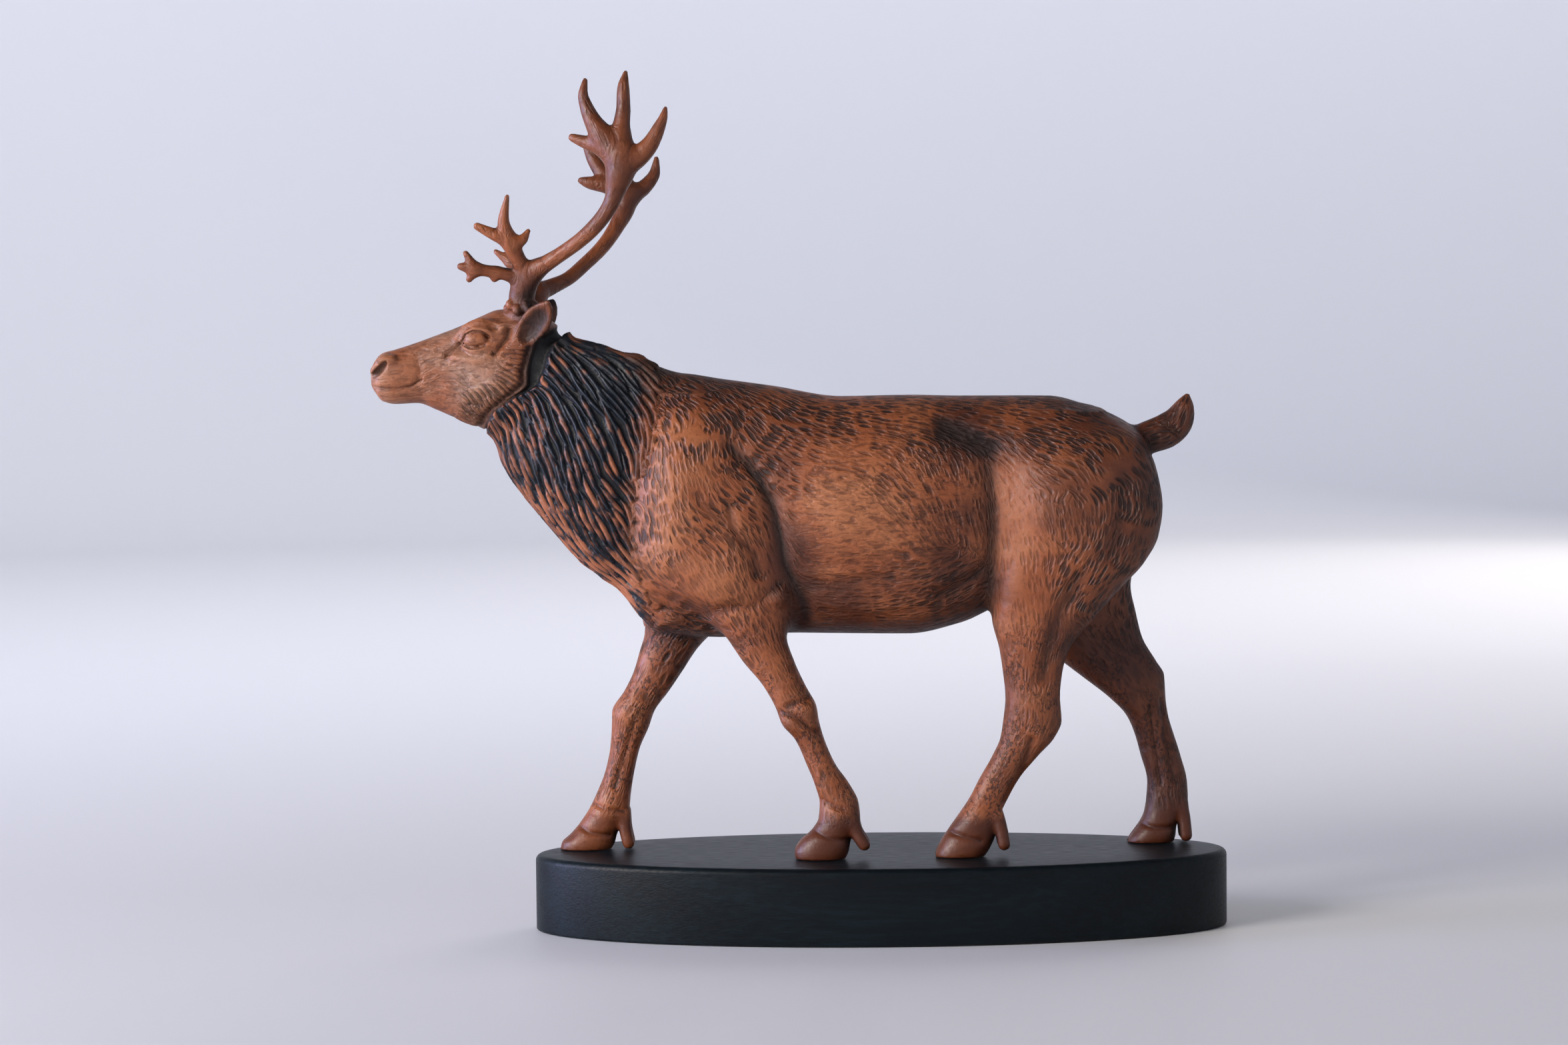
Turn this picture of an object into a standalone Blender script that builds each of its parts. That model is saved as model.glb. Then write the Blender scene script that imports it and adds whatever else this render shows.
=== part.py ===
"""Carved wooden deer walking on an oval plinth.

The figure is one carved piece: trunk, neck with its mane, head, ears, antlers,
tail and four legs. It is worked out as one solid: each mass is a stack of oval
sections, the masses are blended into one another on a fine lattice, the skin of
that blend is drawn as a mesh, and the carving is cut into the skin.

Side-view numbers are drawn millimetres of a figure DRAWN_HEIGHT tall, x to the
rear, z up from the underside of the plinth. They are shares of the figure's
height: FIGURE_HEIGHT sets the real size of all of them.
"""

import math

import bpy
import numpy as np

# Driving dimensions, metres.
FIGURE_HEIGHT = 0.267
PLINTH_LENGTH = 0.236
PLINTH_WIDTH = 0.092
PLINTH_THICKNESS = 0.026
PLINTH_TOP_ROUND = 0.0022
PLINTH_FOOT_ROUND = 0.0008
FOOT_GAP = 0.0003

# The drawing: its own height, the level of the ground in it and the plane that
# halves the body.
DRAWN_HEIGHT = 267.0
DRAWN_GROUND = 26.0
MIDDLE_Y = -3.0

# Fineness of the lattice, drawn millimetres, and the faces kept on the figure.
LATTICE = 1.0
FIGURE_FACES = 8200
FAR_AWAY = 9.0

# Mane: spacing and length of its locks, depth of the cuts between them and how
# far the whole mane stands over the shoulder.
LOCK_SPACING = 4.2
LOCK_LENGTH = 14.0
LOCK_DEPTH = 1.15
MANE_LIFT = 0.8

# Trunk sections, from the chest to the rump: x, back, belly, half width.
TRUNK = (
    (-89.0, 172.0, 132.0, 8.0),
    (-80.0, 187.6, 110.0, 16.0),
    (-68.0, 189.8, 101.0, 21.0),
    (-52.0, 187.6, 100.0, 24.0),
    (-36.0, 185.3, 101.4, 25.2),
    (-12.0, 181.5, 101.0, 28.0),
    (10.0, 181.7, 100.7, 28.0),
    (27.0, 181.3, 104.1, 25.6),
    (42.0, 181.2, 110.5, 23.5),
    (58.0, 181.0, 116.0, 23.0),
    (70.0, 178.1, 120.0, 21.0),
    (82.0, 173.2, 126.0, 18.0),
    (89.5, 167.0, 133.0, 13.5),
    (94.0, 156.0, 141.0, 6.0),
)

# Neck sections, from the poll to the brisket: distance along the neck, throat
# side, nape side, half width.
NECK_START = (-112.0, 200.0)
NECK_HEADING = (0.6, -0.8)
NECK = (
    (-8.0, -17.0, 3.0, 8.0),
    (2.0, -24.0, 7.0, 11.5),
    (14.0, -31.6, 15.8, 14.0),
    (24.0, -36.2, 20.6, 16.5),
    (33.0, -37.0, 19.5, 18.5),
    (42.0, -36.7, 14.0, 20.0),
    (52.5, -36.2, 8.0, 20.5),
    (64.6, -35.4, 0.0, 19.5),
    (75.0, -32.0, -6.0, 17.0),
    (86.4, -28.6, -10.0, 12.5),
    (95.0, -26.8, -14.0, 7.0),
)

# Head sections, from the nose to the poll: x, top, bottom, half width.
HEAD = (
    (-171.3, 192.4, 186.2, 2.4),
    (-170.2, 194.6, 184.4, 4.7),
    (-167.6, 197.4, 181.2, 6.5),
    (-163.0, 198.7, 180.2, 7.0),
    (-156.0, 200.9, 180.5, 7.0),
    (-149.0, 203.4, 178.0, 7.6),
    (-141.0, 206.4, 174.4, 9.2),
    (-134.0, 209.6, 172.0, 10.8),
    (-128.0, 211.8, 171.0, 11.8),
    (-121.0, 212.2, 177.0, 12.0),
    (-113.0, 209.0, 184.5, 11.0),
    (-106.0, 203.5, 190.0, 7.5),
)

# Limb sections, from the shoulder or the hip to the sole: z, front, rear, half
# width, y of the middle.
NEAR_FORE = (
    (182.0, -72.0, -54.0, 6.0, -9.5),
    (177.0, -78.0, -47.0, 10.0, -12.0),
    (163.0, -82.0, -44.0, 13.0, -15.0),
    (146.0, -84.0, -36.8, 14.0, -16.5),
    (131.0, -83.0, -32.6, 13.8, -17.4),
    (120.0, -74.0, -30.2, 12.6, -17.8),
    (110.0, -59.5, -30.5, 10.0, -18.0),
    (101.4, -52.0, -31.6, 8.2, -18.5),
    (93.0, -46.3, -29.1, 7.0, -19.0),
    (85.2, -39.9, -25.6, 6.2, -19.3),
    (78.0, -35.8, -22.0, 6.0, -19.5),
    (72.0, -33.4, -20.8, 6.0, -19.5),
    (66.5, -29.0, -19.2, 4.9, -19.7),
    (58.2, -25.3, -15.6, 4.2, -20.0),
    (51.4, -22.6, -10.9, 4.5, -20.0),
    (45.1, -21.0, -7.9, 5.3, -20.0),
    (40.0, -21.4, -7.4, 5.8, -20.0),
    (36.0, -23.8, -8.6, 5.8, -20.0),
    (32.4, -27.8, -10.6, 6.2, -20.0),
    (28.5, -29.8, -11.4, 6.4, -20.0),
    (26.3, -29.4, -12.4, 6.2, -20.0),
)
FAR_FORE = (
    (182.0, -72.0, -54.0, 6.0, 3.5),
    (177.0, -78.0, -47.0, 10.0, 6.0),
    (163.0, -82.0, -44.0, 13.0, 9.0),
    (146.0, -84.0, -38.0, 14.0, 10.5),
    (131.0, -84.0, -37.0, 13.6, 11.0),
    (120.0, -82.0, -43.0, 12.0, 10.8),
    (110.0, -80.2, -51.5, 9.8, 10.0),
    (101.0, -80.2, -57.0, 8.6, 9.8),
    (94.2, -82.0, -62.8, 7.4, 9.6),
    (87.0, -84.2, -67.6, 6.6, 9.4),
    (80.6, -87.4, -72.0, 6.2, 9.2),
    (73.5, -91.7, -77.2, 6.2, 9.0),
    (68.0, -91.9, -79.2, 5.6, 9.0),
    (61.0, -92.5, -82.3, 4.6, 9.0),
    (52.9, -94.3, -84.3, 4.5, 9.0),
    (45.2, -97.4, -85.6, 5.2, 9.0),
    (39.6, -100.2, -86.2, 5.7, 9.0),
    (35.5, -103.0, -88.0, 5.8, 9.0),
    (31.5, -106.4, -90.4, 6.3, 9.0),
    (28.3, -109.7, -91.3, 6.5, 9.0),
    (26.3, -110.3, -92.4, 6.3, 9.0),
)
NEAR_HIND = (
    (175.0, 50.0, 74.0, 6.0, -10.0),
    (166.0, 43.0, 89.0, 12.0, -13.5),
    (155.0, 40.2, 93.6, 14.8, -15.8),
    (144.0, 39.3, 95.2, 15.4, -16.4),
    (134.0, 39.0, 93.7, 14.8, -16.6),
    (125.0, 38.2, 88.8, 13.2, -16.8),
    (116.0, 36.9, 80.4, 11.2, -17.0),
    (106.0, 37.6, 71.6, 9.4, -17.3),
    (96.7, 39.9, 63.9, 7.6, -17.5),
    (88.7, 41.1, 61.2, 6.8, -17.5),
    (80.0, 41.9, 60.3, 6.6, -17.5),
    (72.0, 41.1, 60.8, 6.6, -17.5),
    (66.1, 40.1, 58.3, 6.2, -17.5),
    (60.2, 37.4, 52.9, 5.3, -17.5),
    (52.5, 33.0, 46.5, 4.8, -17.5),
    (45.5, 29.3, 42.5, 4.9, -17.5),
    (39.8, 25.4, 39.8, 5.5, -17.5),
    (35.5, 22.3, 38.9, 5.8, -17.5),
    (31.5, 19.7, 37.6, 6.2, -17.5),
    (28.0, 18.0, 35.8, 6.4, -17.5),
    (26.3, 17.6, 34.6, 6.2, -17.5),
)
FAR_HIND = (
    (175.0, 50.0, 74.0, 6.0, 4.0),
    (166.0, 43.0, 89.0, 12.0, 7.5),
    (155.0, 40.2, 93.6, 14.8, 9.8),
    (144.0, 39.3, 94.6, 15.4, 10.4),
    (134.0, 39.0, 92.6, 14.6, 10.8),
    (125.0, 38.5, 88.8, 12.8, 11.5),
    (115.0, 42.0, 86.6, 11.0, 12.0),
    (106.0, 47.0, 88.3, 9.6, 12.5),
    (97.0, 55.0, 90.6, 8.6, 13.0),
    (88.7, 63.4, 95.4, 7.6, 13.5),
    (84.0, 69.4, 98.1, 7.1, 13.7),
    (76.0, 79.5, 98.6, 6.8, 14.0),
    (70.2, 85.0, 99.4, 6.0, 14.0),
    (64.6, 87.6, 101.0, 5.3, 14.0),
    (56.6, 89.9, 103.5, 4.9, 14.0),
    (47.0, 92.2, 105.9, 5.0, 14.0),
    (41.0, 91.8, 106.2, 5.6, 14.0),
    (36.5, 91.0, 104.4, 5.8, 14.0),
    (31.5, 88.3, 102.2, 6.3, 14.0),
    (28.1, 85.8, 101.8, 6.5, 14.0),
    (26.3, 84.9, 101.2, 6.3, 14.0),
)

# Cords: round or flattened rods along a bent line. Each point is x, y, z, radius
# in the side view, radius across it. A cord ends in a rounded tip.
TAIL = (
    (83.0, -3.0, 162.0, 6.0, 5.5),
    (91.0, -3.0, 166.2, 5.6, 5.0),
    (97.5, -3.0, 168.6, 5.9, 4.8),
    (101.6, -3.0, 171.8, 5.2, 4.2),
    (103.6, -3.0, 176.0, 3.6, 3.2),
    (104.8, -3.0, 180.4, 1.0, 1.0),
)
SPURS = (
    ((-10.5, -2.8, 39.0, 3.0, 2.2), (-8.6, -3.4, 35.0, 2.3, 2.0), (-6.2, -3.8, 31.3, 2.1, 2.0)),
    ((-88.4, -2.8, 38.5, 2.8, 2.2), (-87.5, -3.4, 33.0, 2.2, 2.0), (-86.5, -3.8, 28.6, 2.1, 2.0)),
    ((38.6, -2.8, 40.0, 2.6, 2.2), (40.2, -3.4, 35.0, 2.2, 2.0), (41.0, -3.8, 30.6, 2.1, 2.0)),
    ((103.4, -2.8, 38.5, 2.8, 2.2), (104.8, -3.4, 33.0, 2.2, 2.0), (105.2, -3.8, 28.7, 2.1, 2.0)),
)
SPUR_MIDDLES = (-20.0, 9.0, -17.5, 14.0)

# Ears, drawn on the near side and mirrored for the far side: y is counted
# outwards from the middle plane.
EAR = (
    (-118.6, 8.6, 200.6, 3.6, 2.6),
    (-117.0, 10.6, 204.2, 5.0, 2.3),
    (-114.5, 12.8, 208.0, 4.9, 1.9),
    (-112.0, 14.6, 211.4, 3.2, 1.4),
    (-110.4, 15.8, 214.2, 0.9, 0.8),
)
EAR_HOLLOW = (
    (-118.6, 12.2, 202.8, 2.0, 1.5),
    (-116.8, 13.6, 205.2, 3.7, 1.9),
    (-114.3, 15.2, 208.4, 3.8, 1.9),
    (-112.1, 16.6, 211.2, 2.2, 1.4),
    (-111.1, 17.4, 212.6, 0.9, 0.8),
)

# Antlers: x, y, z, radius. The near one stands steeper and higher, the far one
# spreads further out.
NEAR_ANTLER = (
    ((-119.2, -8.0, 208.0, 4.6), (-119.8, -9.0, 214.5, 4.4), (-118.6, -10.5, 220.5, 4.4),
     (-115.2, -12.5, 224.8, 3.8), (-110.6, -15.0, 227.6, 2.8), (-104.8, -17.5, 231.2, 2.5),
     (-99.6, -20.0, 234.8, 2.5), (-95.0, -22.0, 238.8, 2.6), (-91.0, -23.5, 243.4, 2.6),
     (-88.2, -24.5, 248.2, 2.8), (-86.7, -25.0, 253.0, 3.7), (-85.4, -25.5, 258.6, 5.0),
     (-85.2, -25.5, 264.0, 5.0)),
    ((-85.0, -25.5, 262.0, 4.6), (-85.4, -25.0, 268.2, 4.1), (-84.9, -24.6, 273.2, 2.9),
     (-84.2, -24.0, 279.0, 2.4), (-84.2, -23.4, 285.0, 2.1), (-83.4, -22.5, 291.3, 0.8)),
    ((-84.6, -25.5, 259.8, 4.4), (-79.8, -26.3, 262.4, 3.7), (-75.4, -26.8, 266.6, 2.9),
     (-72.6, -27.0, 271.6, 2.2), (-70.8, -26.8, 275.8, 1.4), (-70.1, -26.5, 278.6, 0.7)),
    ((-86.5, -25.5, 262.5, 4.2), (-90.4, -25.0, 268.4, 4.2), (-94.0, -24.5, 273.8, 3.1),
     (-96.4, -23.8, 279.0, 2.3), (-97.6, -23.0, 283.4, 1.7), (-96.9, -22.5, 288.0, 0.9)),
    ((-87.6, -25.0, 263.4, 3.8), (-93.0, -23.6, 266.4, 2.9), (-97.6, -22.4, 267.8, 2.1),
     (-101.4, -21.5, 269.2, 1.4)),
    ((-117.5, -11.5, 223.5, 3.2), (-120.6, -14.0, 229.0, 2.7), (-122.8, -16.0, 234.4, 2.9),
     (-125.0, -17.5, 241.4, 2.0), (-123.6, -18.5, 249.8, 0.8)),
    ((-123.0, -16.0, 234.8, 2.5), (-128.6, -17.5, 237.4, 2.0), (-133.8, -18.0, 240.0, 1.3)),
    ((-122.6, -16.0, 233.8, 2.2), (-119.0, -16.5, 235.2, 1.8), (-116.8, -16.5, 238.4, 0.8)),
    ((-118.5, -10.5, 221.0, 3.0), (-124.5, -12.5, 223.8, 2.2), (-130.6, -13.5, 225.0, 2.0),
     (-135.6, -14.0, 225.8, 2.1), (-139.8, -14.5, 226.6, 1.2)),
    ((-135.0, -14.0, 226.0, 1.9), (-138.0, -14.5, 231.0, 1.0)),
    ((-134.6, -14.0, 225.4, 1.8), (-137.0, -14.0, 222.2, 1.1)),
    ((-128.0, -13.0, 224.6, 1.6), (-128.6, -13.0, 222.2, 1.1)),
)
FAR_ANTLER = (
    ((-115.8, 2.5, 208.0, 4.4), (-116.4, 3.5, 213.5, 4.2), (-114.6, 6.0, 217.4, 3.4),
     (-110.8, 9.5, 219.2, 2.8), (-105.4, 14.0, 221.8, 2.4), (-99.6, 19.5, 226.8, 2.4),
     (-93.6, 25.0, 232.8, 2.5), (-89.4, 29.5, 239.0, 2.7), (-86.4, 33.0, 245.2, 3.5),
     (-85.2, 35.0, 250.6, 4.3)),
    ((-85.2, 35.0, 250.0, 3.4), (-86.6, 36.5, 258.0, 2.6), (-86.8, 37.5, 266.5, 1.8),
     (-86.2, 37.5, 273.0, 0.9)),
    ((-84.4, 35.0, 250.0, 3.4), (-79.2, 37.0, 253.4, 2.6), (-75.8, 38.5, 258.2, 1.9),
     (-75.2, 39.0, 263.0, 0.9)),
    ((-86.6, 35.0, 252.0, 3.6), (-92.4, 36.0, 256.6, 3.0), (-96.6, 37.0, 262.4, 2.5),
     (-99.4, 37.5, 268.6, 1.6)),
    ((-87.6, 34.5, 252.0, 3.3), (-93.4, 34.5, 254.2, 2.9), (-98.2, 34.2, 254.8, 2.2),
     (-101.2, 34.0, 255.6, 1.2)),
    ((-114.8, 4.5, 217.0, 3.0), (-120.0, 6.5, 223.6, 2.3), (-125.4, 8.0, 228.4, 1.7),
     (-129.4, 8.5, 231.4, 0.9)),
    ((-124.4, 7.5, 227.6, 1.7), (-124.6, 9.5, 233.0, 1.2), (-123.8, 10.5, 237.4, 0.8)),
)

# Knobs of the rough ring under each antler: ring middle, ring radius.
BURRS = ((-119.6, -9.0, 212.4, 4.9), (-116.2, 3.2, 211.6, 4.7))
BURR_KNOBS = 10
BURR_KNOB = 1.5

# Cuts of the carver, in the side view: points, width, depth, side. The side is
# -1 for the near one, 1 for the far one and 0 for both.
CUTS = (
    (((-50.0, 166.0), (-41.0, 156.5), (-36.4, 147.5), (-34.2, 136.5), (-32.0, 127.0), (-29.4, 120.0)), 4.2, 1.6, 0),
    (((-44.0, 158.5), (-38.1, 150.8), (-35.3, 144.2), (-33.3, 136.6), (-32.2, 127.0), (-29.0, 120.6)), 1.1, 1.0, 0),
    (((-50.5, 145.6), (-49.5, 139.4), (-46.7, 134.7), (-41.9, 129.9), (-41.0, 123.6)), 2.6, 1.0, 0),
    (((-61.0, 150.0), (-55.0, 143.0), (-50.0, 138.0)), 4.0, 0.6, 0),
    (((-63.0, 107.6), (-58.0, 109.8), (-51.4, 111.6), (-43.0, 112.4), (-37.6, 116.2), (-32.6, 120.4)), 2.3, 0.8, -1),
    (((-40.0, 114.0), (-36.4, 117.4), (-32.2, 120.6)), 1.0, 0.7, -1),
    (((-29.0, 120.6), (-26.0, 114.0), (-25.0, 107.0)), 3.4, 1.3, -1),
    (((-73.0, 111.0), (-67.0, 108.2), (-56.5, 104.0)), 1.6, 1.0, -1),
    (((-30.0, 119.0), (-14.0, 119.6), (3.0, 121.4)), 3.4, 0.8, 0),
    (((-24.0, 128.0), (-8.0, 126.5), (8.0, 129.0)), 3.0, 0.5, 0),
    (((-20.0, 110.0), (-2.0, 108.0), (16.0, 111.0)), 2.0, 0.5, -1),
    (((20.0, 115.0), (29.0, 119.4), (36.5, 126.0)), 2.8, 1.1, 0),
    (((36.5, 110.0), (37.0, 124.0), (37.6, 142.0), (36.0, 158.0)), 4.4, 1.9, 0),
    (((37.2, 111.0), (37.6, 126.0), (38.4, 144.0)), 1.2, 0.9, 0),
    (((22.0, 171.0), (29.0, 168.0), (36.0, 164.0)), 6.0, 1.8, 0),
    (((81.0, 156.0), (80.5, 142.0), (77.0, 129.0)), 4.2, 0.9, -1),
    (((66.0, 121.0), (60.0, 110.0), (56.5, 99.0), (54.0, 87.0)), 3.4, 1.1, -1),
    (((50.5, 66.0), (47.0, 54.0), (41.6, 45.0)), 1.6, 0.9, -1),
    (((97.0, 76.0), (98.6, 62.0), (101.0, 48.0)), 1.3, 0.8, 1),
    (((92.6, 74.0), (94.4, 60.0), (96.4, 47.0)), 1.2, 0.7, 1),
    (((-84.0, 70.0), (-87.6, 58.0), (-91.0, 48.0)), 1.3, 0.7, 1),
    (((-21.6, 81.6), (-27.0, 80.4), (-31.6, 78.4)), 1.5, 1.1, -1),
    (((-34.0, 76.4), (-28.6, 74.8), (-24.0, 70.6), (-19.6, 69.0)), 1.4, 1.0, -1),
    (((-20.6, 46.4), (-13.0, 43.4)), 1.4, 0.7, -1),
    (((-117.0, 199.0), (-119.3, 191.0), (-119.4, 187.0), (-126.0, 181.4), (-132.0, 176.6), (-134.5, 172.0)), 1.8, 1.8, 0),
    (((-171.5, 186.2), (-166.0, 185.4), (-161.6, 185.5), (-157.6, 186.2), (-154.0, 188.4)), 0.7, 0.9, 0),
    (((-155.4, 196.0), (-154.2, 191.6), (-155.6, 187.2)), 1.5, 0.45, 0),
    (((-145.4, 196.8), (-142.8, 198.8), (-140.2, 200.6)), 1.0, 1.1, 0),
    (((-128.8, 197.4), (-126.8, 199.8), (-124.6, 202.4), (-124.0, 205.0)), 1.1, 0.9, 0),
    (((-98.5, 42.4), (-94.0, 40.4), (-88.0, 39.6)), 1.2, 0.8, 1),
    (((-103.6, 34.8), (-99.4, 32.4), (-92.6, 31.4)), 1.1, 0.8, 1),
    (((-23.6, 36.6), (-17.0, 33.4), (-11.0, 32.8)), 1.1, 0.6, -1),
    (((21.6, 35.4), (27.0, 33.6), (33.0, 32.0)), 1.1, 0.8, -1),
    (((89.6, 33.0), (95.0, 31.6), (101.0, 31.4)), 1.1, 0.7, 1),
)

# Muscles and bones under the skin: x, z, reach along x and z, height, side.
SWELLS = (
    (-68.0, 152.0, 11.0, 18.0, 1.3, 0),
    (-47.0, 137.0, 6.5, 11.0, 1.3, 0),
    (-52.0, 122.0, 11.0, 8.0, 1.2, 0),
    (-33.6, 116.4, 4.2, 3.4, 2.4, -1),
    (-74.0, 124.0, 8.0, 9.0, 0.8, 0),
    (-41.0, 150.0, 3.4, 6.0, 0.8, 0),
    (-6.0, 146.0, 20.0, 16.0, 1.1, 0),
    (2.0, 110.0, 24.0, 5.0, 1.0, 0),
    (18.0, 122.0, 10.0, 4.0, 0.6, 0),
    (57.0, 147.0, 12.0, 17.0, 1.6, 0),
    (45.0, 122.0, 5.5, 10.0, 1.0, -1),
    (72.0, 166.0, 10.0, 7.0, 0.6, 0),
    (46.0, 168.0, 8.0, 6.0, 0.8, 0),
    (-31.5, 100.0, 4.0, 9.0, 0.5, -1),
    (-24.0, 77.0, 3.4, 4.2, 1.3, -1),
    (-31.5, 72.5, 3.4, 4.4, 1.0, -1),
    (-20.0, 52.0, 3.6, 8.0, 0.5, -1),
    (-84.5, 75.0, 4.0, 5.0, 0.6, 1),
    (52.0, 78.0, 5.0, 7.0, 0.7, -1),
    (90.0, 82.0, 5.0, 7.0, 0.7, 1),
    (-14.5, 40.5, 3.4, 3.4, 0.6, -1),
    (-93.0, 41.0, 3.4, 3.4, 0.6, 1),
    (32.0, 40.0, 3.4, 3.4, 0.6, -1),
    (-165.0, 195.5, 4.4, 2.6, 0.5, 0),
    (-150.0, 187.0, 6.0, 4.0, -0.4, 0),
    (-130.0, 190.0, 7.0, 8.0, 0.5, 0),
)

# The rear border of the mane and its border along the jaw: z, x.
MANE_REAR = ((103.0, -79.0), (109.5, -79.5), (114.0, -80.5), (122.0, -82.5), (136.0, -85.0), (148.0, -84.0),
             (165.0, -81.5), (180.0, -80.6), (188.0, -79.8), (196.0, -86.0), (206.0, -104.0))
MANE_JAW = ((100.0, -150.0), (168.0, -134.0), (172.0, -133.0), (176.6, -131.0), (181.4, -125.0), (187.0, -118.4),
            (191.0, -118.2), (199.0, -116.0), (208.0, -106.0))


def curve(knots, values, at):
    """Smooth curve through drawn values that never swings past them.

    Args: knots rising stations, values one row a station, at where it is read.
    Returns: one row of values for each entry of at.
    """
    knots = np.asarray(knots, float)
    values = np.asarray(values, float)
    step = np.diff(knots)[:, None]
    rise = np.diff(values, axis=0) / step
    slope = np.zeros_like(values)
    slope[0], slope[-1] = rise[0], rise[-1]
    before, after = rise[:-1], rise[1:]
    same = before * after > 0
    weighted = (step[:-1] + 2 * step[1:]) / np.where(same, before, 1)
    weighted += (2 * step[:-1] + step[1:]) / np.where(same, after, 1)
    slope[1:-1] = np.where(same, 3 * (step[:-1] + step[1:]) / np.where(same, weighted, 1), 0)
    at = np.clip(at, knots[0], knots[-1])
    span = np.clip(np.searchsorted(knots, at) - 1, 0, len(knots) - 2)
    size = step[span]
    share = ((at - knots[span])[..., None]) / size
    rest = 1 - share
    return (
        values[span] * (1 + 2 * share) * rest**2
        + slope[span] * size * share * rest**2
        + values[span + 1] * (3 - 2 * share) * share**2
        - slope[span + 1] * size * rest * share**2
    )


class Lattice:
    """Regular points around the figure, each holding its distance to the skin."""

    def __init__(self, low, high, pitch):
        self.pitch = pitch
        self.axes = [np.arange(a, b + pitch, pitch) for a, b in zip(low, high)]
        self.field = np.full([len(axis) for axis in self.axes], FAR_AWAY, np.float32)

    def window(self, low, high):
        """Index ranges and open axes of the lattice points in a box."""
        spans = []
        for axis, a, b in zip(self.axes, low, high):
            first, last = np.searchsorted(axis, (a, b))
            spans.append(slice(max(first - 1, 0), min(last + 1, len(axis))))
        x, y, z = (axis[span].astype(np.float32) for axis, span in zip(self.axes, spans))
        return tuple(spans), x[:, None, None], y[None, :, None], z[None, None, :]

    def join(self, spans, distance, blend):
        """Adds a mass, with a fillet about as wide as blend where it meets the rest."""
        here = self.field[spans]
        overlap = np.maximum(blend - np.abs(here - distance), 0) / blend
        self.field[spans] = np.minimum(here, distance) - overlap * overlap * (blend / 4)

    def cut(self, spans, distance, blend):
        """Takes a shape away, with a rounded edge about as wide as blend."""
        here = self.field[spans]
        overlap = np.maximum(blend - np.abs(here + distance), 0) / blend
        self.field[spans] = np.maximum(here, -distance) + overlap * overlap * (blend / 4)


def oval(across, deep, half_across, half_deep, power):
    """Distance to a fat oval, about right near its edge."""
    a = np.abs(across) / half_across
    b = np.abs(deep) / half_deep
    reach = (a**power + b**power) ** (1 / power)
    return (reach - 1) * np.minimum(half_across, half_deep)


def stack(lattice, rows, kind, power, blend):
    """Joins a mass made of oval sections.

    Args: rows sections as drawn above, kind how they are stacked: "long" along
    x, "upright" along z, "neck" along the neck, power 2 for plain ovals and more
    for squarer ones, blend width of the fillet.
    """
    rows = np.array(sorted(rows), float)
    margin = blend + 3.0
    wide = rows[:, 3].max() + margin
    middles = rows[:, 4] if rows.shape[1] > 4 else np.full(len(rows), MIDDLE_Y)
    low_y, high_y = middles.min() - wide, middles.max() + wide
    first, last = rows[0, 0], rows[-1, 0]
    least, most = rows[:, 1:3].min(), rows[:, 1:3].max()
    if kind == "long":
        box = (first - margin, low_y, least - margin), (last + margin, high_y, most + margin)
    elif kind == "upright":
        box = (least - margin, low_y, first - margin), (most + margin, high_y, last + margin)
    else:
        box = (-140.0, low_y, 90.0), (-40.0, high_y, 218.0)
    spans, x, y, z = lattice.window(*box)
    if kind == "long":
        station, side = x, z
    elif kind == "upright":
        station, side = z, x
    else:
        dx, dz = x - NECK_START[0], z - NECK_START[1]
        station = dx * NECK_HEADING[0] + dz * NECK_HEADING[1]
        side = -dx * NECK_HEADING[1] + dz * NECK_HEADING[0]
    found = curve(rows[:, 0], rows[:, 1:], station).astype(np.float32)
    half = np.abs(found[..., 1] - found[..., 0]) / 2
    middle = (found[..., 1] + found[..., 0]) / 2
    deep = y - (found[..., 3] if rows.shape[1] > 4 else np.float32(MIDDLE_Y))
    distance = oval(side - middle, deep, half, found[..., 2], power)
    beyond = np.maximum(first - station, station - last)
    lattice.join(spans, np.maximum(distance, beyond.astype(np.float32)), blend)


def cord(lattice, points, blend, remove=False):
    """Joins or takes away a rod with rounded ends along a bent line.

    Args: points rows of x, y, z, radius in the side view, radius across it.
    """
    points = np.array(points, float)
    if points.shape[1] == 4:
        points = np.column_stack([points, points[:, 3]])
    if len(points) > 2:
        steps = np.arange(len(points), dtype=float)
        points = curve(steps, points, np.linspace(0, len(points) - 1, 3 * (len(points) - 1) + 1))
    reach = points[:, 3:].max() + blend + 2.5
    spans, x, y, z = lattice.window(points[:, :3].min(0) - reach, points[:, :3].max(0) + reach)
    whole = np.full((x.shape[0], y.shape[1], z.shape[2]), FAR_AWAY, np.float32)
    for a, b in zip(points[:-1], points[1:]):
        line = (b - a)[:3]
        length = max(float(line @ line), 1e-6)
        share = ((x - a[0]) * line[0] + (y - a[1]) * line[1] + (z - a[2]) * line[2]) / length
        share = np.clip(share, 0, 1)
        radius, across = a[3] + share * (b[3] - a[3]), a[4] + share * (b[4] - a[4])
        off = np.hypot(x - a[0] - share * line[0], z - a[2] - share * line[2]) / radius
        off = np.hypot(off, (y - a[1] - share * line[1]) / across)
        whole = np.minimum(whole, (off - 1) * np.minimum(radius, across)).astype(np.float32)
    if remove:
        lattice.cut(spans, whole, blend)
    else:
        lattice.join(spans, whole, blend)


def mirrored(points):
    """The points of a cord drawn outwards from the middle, on the near and the far side."""
    points = np.array(points, float)
    for side in (-1, 1):
        moved = points.copy()
        moved[:, 1] = MIDDLE_Y + side * points[:, 1]
        yield moved


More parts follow.
